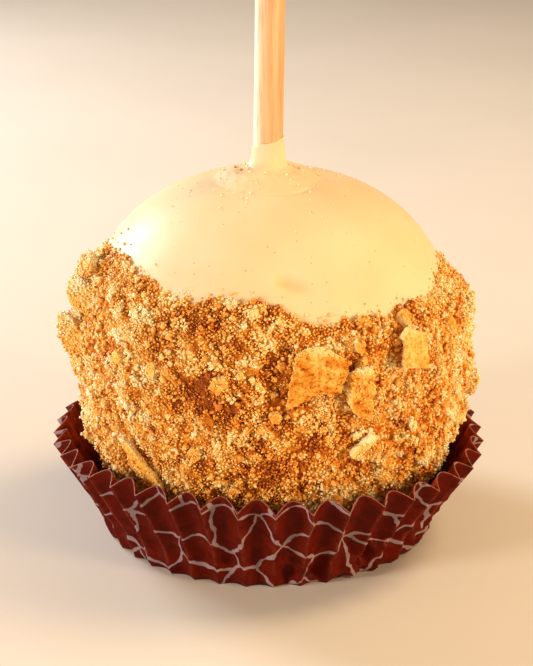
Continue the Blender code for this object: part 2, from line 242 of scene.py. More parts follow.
# Shallow dents and, with a negative depth, swellings: azimuth from the front in degrees, height,
# radius, depth
DENTS = ((5.0, 62.5 * MM, 1.8 * MM, 1.0 * MM), (8.2, 62.0 * MM, 1.7 * MM, 0.8 * MM),
         (11.6, 61.5 * MM, 1.6 * MM, 0.55 * MM), (15.0, 60.9 * MM, 1.6 * MM, 0.3 * MM),
         (23.0, 58.4 * MM, 2.6 * MM, -0.45 * MM), (-34.0, 63.5 * MM, 4.0 * MM, 0.2 * MM),
         (150.0, 64.0 * MM, 3.6 * MM, 0.9 * MM))
DENT_SHADE_DEPTH = 1.2 * MM           # painted shade: dents this deep are painted fully in a deeper colour
CREAM = (0.84, 0.64, 0.385)
CREAM_DEEP = (0.82, 0.595, 0.325)
# The deeper colour painted as shade in the dents.
CREAM_DENT_SHADE = (0.76, 0.49, 0.22)
SPECK_AMBER = (0.72, 0.33, 0.07)


def eased(value, start, end):
    """0 at start, 1 at end, with an even slope at both."""
    share = min(max((value - start) / (end - start), 0.0), 1.0)
    return share * share * (3 - 2 * share)


def middle_at(height):
    """Sideways place of the apple's middle at a height."""
    body = APPLE_MIDDLE + (DOME_MIDDLE - APPLE_MIDDLE) * eased(height, SHIFT_START, SHIFT_END)
    return body - DOME_MIDDLE * eased(height, CROWN_TOP - 2 * CROWN_RISE, CROWN_TOP)


def ball_row(angle, layer):
    """Radius and height of the side, a layer outside the apple, at an angle above its middle."""
    half, power = (UPPER_HALF, UPPER_SQUARENESS) if angle > 0 else (LOWER_HALF, LOWER_SQUARENESS)
    across = math.cos(angle) ** (2 / power)
    rise = abs(math.sin(angle)) ** (2 / power)
    return (APPLE_RADIUS + layer) * across, WIDEST + math.copysign((half + layer) * rise, angle)


def side_radius(height, layer):
    """Radius of the apple's side at a height, a layer outside the apple."""
    above = height > WIDEST
    half, power = (UPPER_HALF, UPPER_SQUARENESS) if above else (LOWER_HALF, LOWER_SQUARENESS)
    share = min(abs(height - WIDEST) / (half + layer), 1.0)
    return (APPLE_RADIUS + layer) * (1 - share ** power) ** (1 / power)


def facing(azimuth):
    """Level direction at an azimuth, turned from the front towards the right."""
    return Vector((math.sin(azimuth), -math.cos(azimuth), 0))


def azimuth_of(point):
    return math.atan2(point.x, -point.y)


def cream():
    """Set cream coating: satin, with faint mottling, tiny amber specks of dust under its skin, and painted
    shade in its dents.
    """
    made, tree, shader = finish("cream_caramel", Roughness=0.6, Coat_Roughness=0.34)
    for socket, value in (("Subsurface Weight", 0.18), ("Subsurface Scale", 2.5 * MM),
                          ("Coat Weight", 0.22), ("Specular IOR Level", 0.3)):
        shader.inputs[socket].default_value = value
    shader.inputs["Subsurface Radius"].default_value = (1.0, 0.6, 0.3)
    place = placed(tree, "ShaderNodeTexCoord").outputs["Object"]
    cloud = placed(tree, "ShaderNodeTexNoise", {"Vector": place, "Scale": 70, "Detail": 4})
    base = colour_steps(tree, cloud.outputs["Fac"], ((0.35, CREAM), (0.7, CREAM_DEEP)))
    # Painted shade in the dents.
    painted_dent_shade = placed(tree, "ShaderNodeAttribute", attribute_name="painted_dent_shade").outputs["Fac"]
    base = placed(tree, "ShaderNodeMix", {"Factor": stretch(tree, painted_dent_shade, 0.05, 1.0, 0.0, 0.7), 6: base,
                                          7: (*CREAM_DENT_SHADE, 1)}, data_type="RGBA").outputs[2]
    cells = placed(tree, "ShaderNodeTexVoronoi", {"Vector": place, "Scale": 720})
    size = placed(tree, "ShaderNodeSeparateColor", {"Color": cells.outputs["Color"]}).outputs[0]
    reach = stretch(tree, size, 0.5, 1.0, 0.0, 0.16)
    inside = sum_of(tree, "SUBTRACT", reach, cells.outputs["Distance"])
    speck = stretch(tree, inside, 0.0, 0.04, 0.0, 0.85)
    specked = placed(tree, "ShaderNodeMix", {"Factor": speck, 6: base, 7: (*SPECK_AMBER, 1)},
                     data_type="RGBA").outputs[2]
    tree.links.new(specked, shader.inputs["Base Color"])
    sheen = placed(tree, "ShaderNodeTexNoise", {"Vector": place, "Scale": 260, "Detail": 3})
    tree.links.new(stretch(tree, sheen.outputs["Fac"], 0.3, 0.7, 0.52, 0.64),
                   shader.inputs["Roughness"])
    skin = placed(tree, "ShaderNodeTexNoise", {"Vector": place, "Scale": 900, "Detail": 4})
    bump = placed(tree, "ShaderNodeBump", {"Height": skin.outputs["Fac"], "Strength": 0.12,
                                           "Distance": 0.1 * MM})
    tree.links.new(bump.outputs["Normal"], shader.inputs["Normal"])
    return made


def crown_height(radius):
    """Height of the crown's mound at a distance from the stick, without its crease."""
    share = (radius / APPLE_RADIUS) ** UPPER_SQUARENESS
    ball = WIDEST + UPPER_HALF * (1 - share) ** (1 / UPPER_SQUARENESS)
    fillet = COLLAR_FILLET * math.exp((COLLAR_FOOT_RADIUS - radius) / COLLAR_FILLET_REACH)
    return ball + CROWN_RISE * eased(radius, CROWN_RADIUS, CROWN_FLAT_RADIUS) + fillet


apple_profile = []
first_angle = -math.pi / 2
last_angle = math.acos((CROWN_RADIUS * 1.35 / APPLE_RADIUS) ** (UPPER_SQUARENESS / 2))
for row in range(APPLE_ROWS + 1):
    row_radius, row_height = ball_row(first_angle + (last_angle - first_angle) * row / APPLE_ROWS, 0)
    apple_profile.append((row_radius if row else 0, row_height))
for row in range(1, CROWN_ROWS + 1):
    row_radius = CROWN_RADIUS * 1.35 + (COLLAR_FOOT_RADIUS - CROWN_RADIUS * 1.35) * row / CROWN_ROWS
    apple_profile.append((row_radius, crown_height(row_radius)))
collar_foot = apple_profile[-1][1]
for row in range(1, COLLAR_ROWS + 1):
    share = (row / COLLAR_ROWS) ** 1.5
    flare = (COLLAR_FOOT_RADIUS - COLLAR_SLEEVE_RADIUS) * (1 - share) ** 7
    sleeve = (COLLAR_SLEEVE_RADIUS - COLLAR_TOP_RADIUS) * (1 - share)
    apple_profile.append((COLLAR_TOP_RADIUS + flare + sleeve, collar_foot + COLLAR_HEIGHT * share))
bore_radius = STICK_RADIUS + 0.02 * MM
apple_profile += [(bore_radius, apple_profile[-1][1] + 0.05 * MM),
                  (bore_radius, stick_foot.z - 0.1 * MM), (0, stick_foot.z - 0.1 * MM)]
apple_body = spun(apple_profile, APPLE_SIDES)
dent_shade_layer = apple_body.verts.layers.float.new("painted_dent_shade")
for point in apple_body.verts:
    here = point.co.copy()
    radius = math.hypot(here.x, here.y)
    azimuth = azimuth_of(here)
    if radius < COLLAR_FOOT_RADIUS * 1.001:
        drawn = eased(here.z, collar_foot, collar_foot + COLLAR_HEIGHT)
        wave = 0.8 * noise.noise(Vector((math.sin(azimuth), math.cos(azimuth), 3)) * 1.7)
        point.co.z += drawn * (COLLAR_SLANT * here.x / COLLAR_TOP_RADIUS + wave * MM)
        lean = stick_line.x / stick_line.z * (here.z - CROWN_TOP)
        point.co.x += lean if radius < COLLAR_TOP_RADIUS + 0.3 * MM else lean * drawn
        continue
    outward = Vector((here.x, here.y, here.z - WIDEST)).normalized()
    flow = FLOW_DEPTH * noise.noise(here / FLOW_SIZE) * eased(radius, COLLAR_FOOT_RADIUS, CROWN_RADIUS)
    dent = 0
    for dent_azimuth, dent_height, dent_radius, dent_depth in DENTS:
        heart = facing(math.radians(dent_azimuth)) * side_radius(dent_height, 0)
        heart.z = dent_height
        dent += dent_depth * math.exp(-((here - heart).length / dent_radius) ** 2)
    flow -= dent
    # Painted shade in the dents, kept as an attribute.
    point[dent_shade_layer] = max(dent, 0) / DENT_SHADE_DEPTH
    around = Vector((math.sin(azimuth), math.cos(azimuth), 0.0))
    ring = CREASE_RADIUS + 1.6 * MM * noise.noise(around * 1.3)
    deep = 0.1 + 0.6 * math.cos(azimuth - CREASE_TURN) + noise.noise(around * 1.4 + Vector((5, 2, 1)))
    if here.z > WIDEST:
        flow -= CREASE_DEPTH * max(deep, 0) * math.exp(-((radius - ring) / CREASE_WIDTH) ** 2)
        rough = eased(radius, 1.5 * CROWN_RADIUS, CROWN_FLAT_RADIUS)
        flow += CROWN_ROUGHNESS * rough * noise.noise(here / (1.3 * MM))
    point.co += outward * flow
    point.co.x += middle_at(here.z)
coated_apple = made_piece("cream_dipped_apple", apple_body, [cream()],
                          ["dipped_apple"])


# ---- Crumb coat -------------------------------------------------------------------------------
# While the coating was soft the apple was rolled in biscuit crumbs, which hold in a layer a few
# millimetres thick up to an uneven dip line. The packed layer is one body, cobbled where crumbs
# have clumped, and paler or more toasted in patches.

CRUMB_LAYER = 3.0 * MM
GRAIN_STAND = 0.35 * MM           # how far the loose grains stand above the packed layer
EDGE_LAYER = 0.6 * MM             # the layer thins out towards the dip line
EDGE_FADE = 5.0 * MM
SEAT_GAP = 0.05 * MM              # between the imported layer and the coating
LUMP_DEPTH = 1.8 * MM
LUMP_SIZE = 6.0 * MM
CLUMP_DEPTH = 1.25 * MM
CLUMP_SIZE = 3.3 * MM
PEBBLE_DEPTH = 0.8 * MM
PEBBLE_SIZE = 1.8 * MM
# Rolling drew the clumps out down the side, and dragged them to the right, most on the left side
CLUMP_SPAN = 0.62
DRAG_MEAN = 0.45
DRAG_SWING = 0.38
COAT_SIDES = 560
COAT_SIDE_ROWS = 140
COAT_BASE_ROWS = 12               # under the apple, out of sight inside the case
COAT_INNER_ROWS = 12
SHOWN_FROM = 9.0 * MM
DIP_MEAN = 58.0 * MM
DIP_NIBBLE = 0.7 * MM
DIP_NIBBLE_SIZE = 5.0 * MM
DIP_RAG = 1.5 * MM                # and it is ragged at the size of single clumps
DIP_RAG_SIZE = 1.7 * MM
DIP_STEP = math.radians(15)
# Heights of the dip line in mm, one each step round from the front
DIP_HEIGHTS = (58.5, 54.3, 55.2, 55.4, 55.0, 57.2, 56.6, 54.8, 55.6, 57.0, 56.2, 57.6,
               58.8, 57.9, 57.2, 58.0, 56.4, 57.2, 60.0, 61.2, 61.5, 60.8, 58.2, 59.3)
# Patches where the crumbs are browner or paler: azimuth in degrees, height, reach, strength
TOAST_PATCHES = ((-9.0, 57.0 * MM, 7.0 * MM, 0.1), (-24.0, 54.0 * MM, 6.0 * MM, 0.07),
                 (-17.0, 42.0 * MM, 6.0 * MM, 0.16), (-5.0, 29.0 * MM, 8.0 * MM, 0.08),
                 (14.0, 34.0 * MM, 6.0 * MM, 0.14), (62.0, 52.0 * MM, 9.0 * MM, 0.08),
                 (-58.0, 47.0 * MM, 14.0 * MM, -0.04), (-45.0, 27.0 * MM, 13.0 * MM, -0.02),
                 (60.0, 36.0 * MM, 20.0 * MM, -0.06),
                 (0.0, 15.0 * MM, 11.0 * MM, 0.06), (130.0, 50.0 * MM, 9.0 * MM, 0.28),
                 (195.0, 34.0 * MM, 10.0 * MM, 0.22), (230.0, 52.0 * MM, 12.0 * MM, -0.2))
# Patches where crumbs have melted into the coating and lie half sunk: the same values
SUNK_PATCHES = ((-68.0, 40.0 * MM, 24.0 * MM, 0.8), (66.0, 34.0 * MM, 24.0 * MM, 1.0),
                (170.0, 44.0 * MM, 20.0 * MM, 0.8))
PEBBLE_SWELL = 0.9                # the smaller lumps stand out this much more there
CREVICE_PAINTED_SHADE = 0.5               # painted light and shade: the tone is paler on the clumps' heads and darker between them
SUNK_CREVICE_PAINTED_SHADE = 0.5
PACKED_PAINTED_SHADE = 0.1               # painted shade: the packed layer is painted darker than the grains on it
CRUMB_WHITE = (0.96, 0.78, 0.46)
CRUMB_CREAM = (0.95, 0.655, 0.25)
CRUMB_PALE = (0.93, 0.52, 0.12)
CRUMB_GOLD = (0.86, 0.37, 0.045)
CRUMB_AMBER = (0.69, 0.20, 0.009)
CRUMB_BROWN = (0.32, 0.062, 0.0025)
TONE_OF_WHITE = -0.25             # on the scale where 0 is cream and 1 is brown


def dip_height(azimuth):
    """Height of the dip line: eased between the given heights, then nibbled."""
    place = (azimuth % (2 * math.pi)) / DIP_STEP
    index = int(place)
    low, high = (DIP_HEIGHTS[(index + step) % len(DIP_HEIGHTS)] * MM for step in (0, 1))
    height = low + (high - low) * eased(place, index, index + 1)
    around = Vector((math.sin(azimuth), math.cos(azimuth), 0)) * APPLE_RADIUS
    ragged = DIP_RAG * noise.noise(around / DIP_RAG_SIZE)
    return height + DIP_NIBBLE * noise.noise(around / DIP_NIBBLE_SIZE) + ragged


def clumped(point, size):
    """Round heads with narrow valleys between them, from 0 to 1, each head at its own height."""
    bent = point / size + noise.noise_vector(point / size * 0.8) * 0.35
    distances, hearts = noise.voronoi(bent)
    head = eased(distances[1] - distances[0], 0.0, 0.42)
    return head * (0.5 + 0.5 * noise.cell(hearts[0] * 7.3))


def patched(point, patches):
    """The sum of soft round patches of the side at a point of it."""
    total = 0
    for azimuth, height, reach, strength in patches:
        heart = facing(math.radians(azimuth)) * side_radius(height, CRUMB_LAYER)
        heart.z = height
        total += strength * math.exp(-((point - heart).length / reach) ** 2)
    return total


def crumb_relief(point):
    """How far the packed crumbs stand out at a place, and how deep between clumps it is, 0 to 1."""
    drag = DRAG_MEAN - DRAG_SWING * math.sin(azimuth_of(point))
    drawn = Matrix.Rotation(drag * (point.z - WIDEST) / APPLE_RADIUS, 3, "Z") @ point
    drawn.z *= CLUMP_SPAN
    clump, pebble = clumped(drawn, CLUMP_SIZE), clumped(drawn, PEBBLE_SIZE)
    relief = LUMP_DEPTH * noise.noise(point / LUMP_SIZE)
    swell = 1 + PEBBLE_SWELL * patched(point, SUNK_PATCHES)
    relief += CLUMP_DEPTH * (clump - 0.4) + PEBBLE_DEPTH * swell * (pebble - 0.4)
    return relief, 1 - 0.55 * min(clump / 0.6, 1) - 0.45 * min(pebble / 0.6, 1)


def toasting(point):
    """How toasted the crumbs are at a place, from 0, pale, to 1, brown."""
    tone = 0.36 + 0.36 * noise.noise(point / (7.5 * MM)) + 0.3 * noise.noise(point / (2.6 * MM))
    return min(max(tone + patched(point, TOAST_PATCHES), 0.0), 1.0)


def open_crumb(tree):
    """The bent place all over biscuit, and how deep in one of its pores each place is."""
    place = placed(tree, "ShaderNodeTexCoord").outputs["Object"]
    warp = placed(tree, "ShaderNodeTexNoise", {"Vector": place, "Scale": 900, "Detail": 2})
    shift = placed(tree, "ShaderNodeVectorMath", {0: warp.outputs["Color"], "Scale": 0.35 * MM},
                   operation="SCALE").outputs[0]
    bent = placed(tree, "ShaderNodeVectorMath", {0: place, 1: shift}, operation="ADD").outputs[0]
    hole = placed(tree, "ShaderNodeTexNoise", {"Vector": bent, "Scale": 1500, "Detail": 3})
    return bent, stretch(tree, hole.outputs["Fac"], 0.53, 0.66)


def baked_colour_group():
    """Baked biscuit: a colour for how toasted it is, with mottling at the size of its crumb, and painted
    shade in its pores."""
    group = bpy.data.node_groups.new("baked_colour", "ShaderNodeTree")
    for name in ("Tone", "Mottling", "Mottle Scale", "Pores"):
        group.interface.new_socket(name, in_out="INPUT", socket_type="NodeSocketFloat")
    group.interface.new_socket("Color", in_out="OUTPUT", socket_type="NodeSocketColor")
    inside = group.nodes.new("NodeGroupInput")
    outside = group.nodes.new("NodeGroupOutput")
    place = placed(group, "ShaderNodeTexCoord").outputs["Object"]
    mottle = placed(group, "ShaderNodeTexNoise", {"Vector": place, "Detail": 4, "Roughness": 0.65,
                                                  "Scale": inside.outputs["Mottle Scale"]})
    centred = sum_of(group, "SUBTRACT", mottle.outputs["Fac"], 0.5)
    scaled = sum_of(group, "MULTIPLY", centred, inside.outputs["Mottling"])
    tone = sum_of(group, "ADD", scaled, inside.outputs["Tone"])
    # Painted shade in the pores.
    tone = sum_of(group, "ADD", tone, sum_of(group, "MULTIPLY", open_crumb(group)[1],
                                             inside.outputs["Pores"]))
    colour = colour_steps(group, stretch(group, tone, TONE_OF_WHITE, 1.0),
                          ((0.0, CRUMB_WHITE), (0.2, CRUMB_CREAM), (0.4, CRUMB_PALE),
                           (0.6, CRUMB_GOLD), (0.8, CRUMB_AMBER), (1.0, CRUMB_BROWN)))
    group.links.new(colour, outside.inputs["Color"])
    return group


def baked_relief_group():
    """The open crumb of biscuit, as a height: fine beads, and pores sunk between them."""
    group = bpy.data.node_groups.new("baked_relief", "ShaderNodeTree")
    for name in ("Bead Scale", "Pores"):
        group.interface.new_socket(name, in_out="INPUT", socket_type="NodeSocketFloat")
    group.interface.new_socket("Height", in_out="OUTPUT", socket_type="NodeSocketFloat")
    inside = group.nodes.new("NodeGroupInput")
    outside = group.nodes.new("NodeGroupOutput")
    bent, sunk = open_crumb(group)
    bead = placed(group, "ShaderNodeTexVoronoi", {"Vector": bent, "Scale": inside.outputs["Bead Scale"]})
    rise = sum_of(group, "SUBTRACT", 1.0, bead.outputs["Distance"])
    pores = sum_of(group, "MULTIPLY", sunk, inside.outputs["Pores"])
    group.links.new(sum_of(group, "SUBTRACT", rise, pores), outside.inputs["Height"])
    return group


baked_colour = baked_colour_group()
baked_relief = baked_relief_group()


def crumb_finish(name, darker, bead_scale, pores, relief, roughness, gloss, mottling=0.35,
                 pore_shade=0.0):
    """Biscuit in one of its forms: toasted by its tone attribute, with its open crumb as relief."""
    made, tree, shader = finish(name, Roughness=roughness)
    for socket, value in (("Coat Weight", gloss), ("Coat Roughness", 0.16),
                          ("Specular IOR Level", 0.12), ("Subsurface Weight", 0.2),
                          ("Subsurface Scale", 0.6 * MM)):
        shader.inputs[socket].default_value = value
    tone = placed(tree, "ShaderNodeAttribute", attribute_name="tone").outputs["Fac"]
    deeper = sum_of(tree, "ADD", tone, darker)
    colour = placed(tree, "ShaderNodeGroup", node_tree=baked_colour)
    tree.links.new(deeper, colour.inputs["Tone"])
    colour.inputs["Mottling"].default_value = mottling
    colour.inputs["Mottle Scale"].default_value = 1300
    colour.inputs["Pores"].default_value = pore_shade
    tree.links.new(colour.outputs["Color"], shader.inputs["Base Color"])
    height = placed(tree, "ShaderNodeGroup", {}, node_tree=baked_relief)
    height.inputs["Bead Scale"].default_value = bead_scale
    height.inputs["Pores"].default_value = pores
    bump = placed(tree, "ShaderNodeBump", {"Height": height.outputs["Height"], "Strength": 0.8,
                                           "Distance": relief})
    tree.links.new(bump.outputs["Normal"], shader.inputs["Normal"])
    return made


packed_layer = CRUMB_LAYER - GRAIN_STAND


def layer_at(azimuth, height):
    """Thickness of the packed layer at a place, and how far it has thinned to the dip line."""
    edge = dip_height(azimuth)
    thinning = eased(height, edge - EDGE_FADE, edge)
    return packed_layer + (EDGE_LAYER - packed_layer) * thinning, thinning


base_sine = ((WIDEST - SHOWN_FROM) / (LOWER_HALF + packed_layer)) ** (LOWER_SQUARENESS / 2)
inner_sine = ((DIP_MEAN - WIDEST) / (UPPER_HALF + SEAT_GAP)) ** (UPPER_SQUARENESS / 2)
base_angle, inner_top = -math.asin(base_sine), math.asin(inner_sine)
coat_profile = [ball_row(first_angle + (base_angle - first_angle) * row / COAT_BASE_ROWS, packed_layer)
                for row in range(COAT_BASE_ROWS)]
coat_profile += [(side_radius(height, packed_layer), height)
                 for height in np.linspace(SHOWN_FROM, DIP_MEAN, COAT_SIDE_ROWS + 1)]
coat_profile += [ball_row(inner_top + (first_angle - inner_top) * row / COAT_INNER_ROWS, SEAT_GAP)
                 for row in range(COAT_INNER_ROWS + 1)]
coat_profile[0] = (0, coat_profile[0][1])
coat_profile[-1] = (0, coat_profile[-1][1])
coat_body = spun(coat_profile, COAT_SIDES)
tone_layer = coat_body.verts.layers.float.new("tone")
sunk_layer = coat_body.verts.layers.float.new("sunk")
for point in coat_body.verts:
    here = point.co.copy()
    radius = math.hypot(here.x, here.y)
    azimuth = azimuth_of(here)
    beside = radius > side_radius(here.z, packed_layer / 2)
    outside = beside or here.z < WIDEST - LOWER_HALF - packed_layer / 2
    raised = here.z + (dip_height(azimuth) - DIP_MEAN) * eased(here.z, WIDEST, DIP_MEAN)
    layer, thinning = layer_at(azimuth, raised)
    spread = side_radius(raised, layer if outside else SEAT_GAP)
    place = facing(azimuth) * spread
    place.z = raised
    crevice = 0.5
    if outside and radius:
        relief, crevice = crumb_relief(place)
        relief *= (1 - 0.8 * thinning) * eased(here.z, 0, WIDEST / 2)
        spread = max(spread + relief, side_radius(raised, SEAT_GAP * 2))
    if radius and here.z > SHOWN_FROM:
        point.co.x, point.co.y = facing(azimuth).xy * spread
    point.co.z = raised
    point.co.x += middle_at(raised)
    sunk = min(patched(place, SUNK_PATCHES), 1)
    # Painted light and shade: the tone is paler on the heads of the clumps and darker between them, and
    # the loose grains take it on from the layer under them.
    crevice_shade = CREVICE_PAINTED_SHADE + (SUNK_CREVICE_PAINTED_SHADE - CREVICE_PAINTED_SHADE) * sunk
    point[tone_layer] = toasting(place) + crevice_shade * (crevice - 0.4) - PACKED_PAINTED_SHADE * 0.6 * sunk
    point[sunk_layer] = sunk
# Painted shade: the packed layer under the grains is painted darker.
crumb_body = made_piece("packed_crumbs", coat_body,
                        [crumb_finish("packed_crumb", PACKED_PAINTED_SHADE, 2000, 0.9, 0.5 * MM, 0.6, 0.1,
                                      mottling=0.7, pore_shade=0.1)],
                        ["crumb_coat"])


# ---- Broken biscuit ---------------------------------------------------------------------------
# Larger broken pieces of the same biscuit are pressed into the crumbs while they settle. Each is
# a plate a few millimetres thick with a porous broken face, layered across its height by rolling.

VOXEL = 0.24 * MM
BREAK_DEPTH = 0.22 * MM           # unevenness of the broken outline
BREAK_SIZE = 2.2 * MM
LAYER_DEPTH = 0.55 * MM
LAYER_SIZE = 2.8 * MM
GRAIN_SLOPE = 0.4                 # the layers slant down to the right
PORE_DEPTH = 0.45 * MM
PORE_SIZE = 0.9 * MM
PLAIN_PITTING = 0.2
PLAIN_DUST = 0.06
# How toasted, how pitted and how dusty with grains some of them are
SHARD_LOOKS = {"biscuit_right_plate": (0.34, 0.1, 0.0), "biscuit_left_fan": (0.36, 0.4, 0.15),
               "biscuit_left_spur": (0.38, 0.5, 0.3), "biscuit_front_slab": (0.54, 0.9, 0.0),
               "biscuit_front_wedge": (0.5, 1.1, 0.06), "biscuit_front_baton": (0.26, 0.2, 0.03),
               "biscuit_left_nugget": (0.5, 0.6, 0.6), "biscuit_right_nugget": (0.4, 0.8, 0.8),
               "biscuit_back_slab": (0.7, 1.0, 0.02)}
TOP_PAINTED_LIGHT = 0.36                  # painted light: the upper edges of each piece are painted paler
LIT_TOP_BAND = 3.5 * MM
BROKEN_PALER = 0.2                # the broken sides are paler than the baked face
CRUMBLE_DEPTH = 0.16 * MM         # and all of it crumbles a little
CRUMBLE_SIZE = 0.7 * MM
biscuit_finish = crumb_finish("broken_biscuit", -0.04, 2000, 1.0, 0.3 * MM, 0.62, 0.03,
                              mottling=0.4, pore_shade=0.14)


def remeshed(body, voxel):
    """An even mesh of the same form as a closed bmesh, which is used up."""
    mesh = bpy.data.meshes.new("even")
    bmesh.ops.remove_doubles(body, verts=body.verts, dist=0.001 * MM)
    body.to_mesh(mesh)
    body.free()
    holder = bpy.data.objects.new("even", mesh)
    bpy.context.scene.collection.objects.link(holder)
    remesh = holder.modifiers.new("even", "REMESH")
    remesh.mode = "VOXEL"
    remesh.voxel_size = voxel
    made = bmesh.new()
    made.from_object(holder, bpy.context.evaluated_depsgraph_get())
    bpy.data.objects.remove(holder)
    bpy.data.meshes.remove(mesh)
    bmesh.ops.smooth_vert(made, verts=made.verts, factor=0.5, use_axis_x=True, use_axis_y=True,
                          use_axis_z=True)
    made.normal_update()
    return made


def broken_depth(here, pitting):
    """How far a broken biscuit's face stands out at a place, and its ridges there."""
    ridges = noise.noise(Vector((here.x, here.y, 2.6 * (here.z + GRAIN_SLOPE * here.x))) / LAYER_SIZE)
    pores = noise.voronoi(Vector((here.x, here.y, here.z * 1.6)) / PORE_SIZE)[0][0]
    depth = BREAK_DEPTH * noise.noise(here / BREAK_SIZE)
    depth += LAYER_DEPTH * (0.3 + 0.7 * pitting) * ridges
    depth += CRUMBLE_DEPTH * (0.4 + 0.6 * pitting) * noise.noise(here / CRUMBLE_SIZE)
    return depth - pitting * PORE_DEPTH * eased(pores, 0.4, 0.14), ridges


def weathered(body, tone, pitting, out, share=1.0):
    """Toast a piece of biscuit with its baked face out, paint its ridges paler and its grooves darker as
    light and shade, and break its faces up by a share.
    """
    tones = body.verts.layers.float.new("tone")
    for point in body.verts:
        depth, ridges = broken_depth(point.co, pitting)
        broken = 1 - eased(point.normal.dot(out), 0.5, 0.85)
        # Painted light and shade: the raised layers are painted paler and the grooves between them darker.
        mottled_and_shaded = 0.25 * noise.noise(point.co / (2.5 * MM)) - 0.2 * ridges * pitting
        point[tones] = tone + mottled_and_shaded - BROKEN_PALER * broken
        point.co += point.normal * depth * share


shards, dusty = [], []
for node in sorted(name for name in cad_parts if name.startswith("biscuit_")):
    solid = bmesh.new()
    solid.from_mesh(bpy.data.objects[node].data)
    shard = remeshed(solid, VOXEL)
    tone, pitting, dust = SHARD_LOOKS.get(node, (0.45, PLAIN_PITTING, PLAIN_DUST))
    low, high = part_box(node)
    weathered(shard, tone, pitting, ((low + high) / 2 - Vector((APPLE_MIDDLE, 0, WIDEST))).normalized())
    toasted = shard.verts.layers.float["tone"]
    # Painted light: the top band of each piece is painted paler.
    for point in shard.verts:
        point[toasted] -= TOP_PAINTED_LIGHT * eased(point.co.z, high.z - LIT_TOP_BAND, high.z)
    shards.append(made_piece(node.replace("biscuit_", "broken_biscuit_"), shard, [biscuit_finish],
                             [node]))
    dusty.append((shards[-1], dust))


# ---- Biscuit chips ----------------------------------------------------------------------------
# Thin flakes and chunks of biscuit, 2 to 5 mm across, lie flat among the crumbs or stand half out
# of them. They are the same biscuit, mostly paler because they broke off its inside.

CHIP_EDGE = 0.1 * MM              # its edges are worn this far
# azimuth and height of the place, width, length, thickness, turn and tip in degrees, tone
CHIPS = ((-14.1, 45.0, 5.2, 3.6, 1.0, 35, 0, 0.32), (-34.7, 45.7, 3.0, 4.2, 1.1, 12, 12, 0.1),
         (-47.0, 46.0, 3.6, 3.8, 1.4, 60, 0, 0.25), (17.8, 19.4, 4.8, 4.2, 1.3, 8, 14, 0.3),
         (24.1, 18.6, 3.0, 3.4, 2.6, 40, 0, 0.32), (14.0, 16.6, 3.8, 2.4, 1.2, 5, 10, 0.28),
         (43.2, 54.3, 3.2, 4.8, 1.6, 24, 20, 0.34), (28.4, 54.8, 3.4, 3.2, 2.6, 15, 0, 0.4),
         (-3.1, 36.5, 3.2, 1.8, 1.0, 35, 12, 0.3), (0.5, 38.8, 3.4, 2.4, 1.2, 150, -8, 0.34),
         (33.4, 27.0, 3.2, 4.6, 2.6, 12, 0, 0.36), (33.9, 22.3, 3.6, 3.2, 2.4, 70, 0, 0.34),
         (61.8, 49.8, 2.8, 4.6, 1.3, 20, 10, 0.34), (60.8, 46.2, 3.0, 3.0, 1.2, -40, -6, 0.34),
         (-3.0, 45.0, 1.4, 3.2, 1.0, 40, 0, 0.2), (-22.0, 29.5, 3.0, 3.4, 1.8, 20, 0, 0.36),
         (-57.0, 52.5, 4.4, 2.0, 1.4, 30, 0, 0.4), (-60.0, 22.0, 3.2, 2.4, 1.4, 70, 0, 0.3),
         (-9.0, 50.5, 2.6, 2.0, 1.6, 15, 0, 0.55), (-18.0, 37.0, 2.0, 5.0, 1.4, 14, 0, 0.6),
         (-11.8, 21.4, 3.0, 2.6, 1.4, 60, 8, 0.42), (-8.0, 47.5, 2.2, 1.6, 1.2, 100, 0, 0.36),
         (24.6, 51.6, 2.8, 4.4, 2.2, 8, 0, 0.34), (25.0, 48.6, 3.2, 2.6, 2.0, 60, 0, 0.38))
MORE_CHIPS = 34                   # of the same sizes, over the rest of the side
CHIPS_SEED = 5


def side_frame(azimuth, height, layer):
    """A frame on the coat's side: right along it, up it, and out of it."""
    side, right = facing(azimuth), Vector((math.cos(azimuth), math.sin(azimuth), 0))
    low, high = (side_radius(height + step, layer) for step in (-0.5 * MM, 0.5 * MM))
    up = (side * (high - low) + Vector((0, 0, MM))).normalized()
    middle = side * (low + high) / 2 + Vector((middle_at(height), 0, height))
    return Matrix.Translation(middle) @ Matrix((right, up, right.cross(up))).transposed().to_4x4()


def chip(size, corners):
    """A flat chip with an irregular broken outline: its size is width, length, thickness."""
    body = bmesh.new()
    drawn = bmesh.ops.create_circle(body, cap_ends=True, segments=corners, radius=0.5)["verts"]
    for point in drawn:
        point.co *= chance.uniform(0.7, 1.2)
    raised = bmesh.ops.extrude_face_region(body, geom=body.faces[:])["geom"]
    for point in drawn:
        point.co.z = -1
    for point in (item for item in raised if isinstance(item, bmesh.types.BMVert)):
        point.co.x *= 0.86
        point.co.y *= 0.86
    bmesh.ops.recalc_face_normals(body, faces=body.faces)
    bmesh.ops.scale(body, vec=size, verts=body.verts)
    bmesh.ops.bevel(body, geom=body.edges[:], offset=CHIP_EDGE, segments=2, profile=0.5,
                    affect="EDGES", material=-1)
    bmesh.ops.triangulate(body, faces=body.faces)
    long_edges = [edge for edge in body.edges if edge.calc_length() > 4 * CHIP_EDGE]
    bmesh.ops.subdivide_edges(body, edges=long_edges, cuts=3, use_grid_fill=True)
    bmesh.ops.triangulate(body, faces=body.faces)
    return body


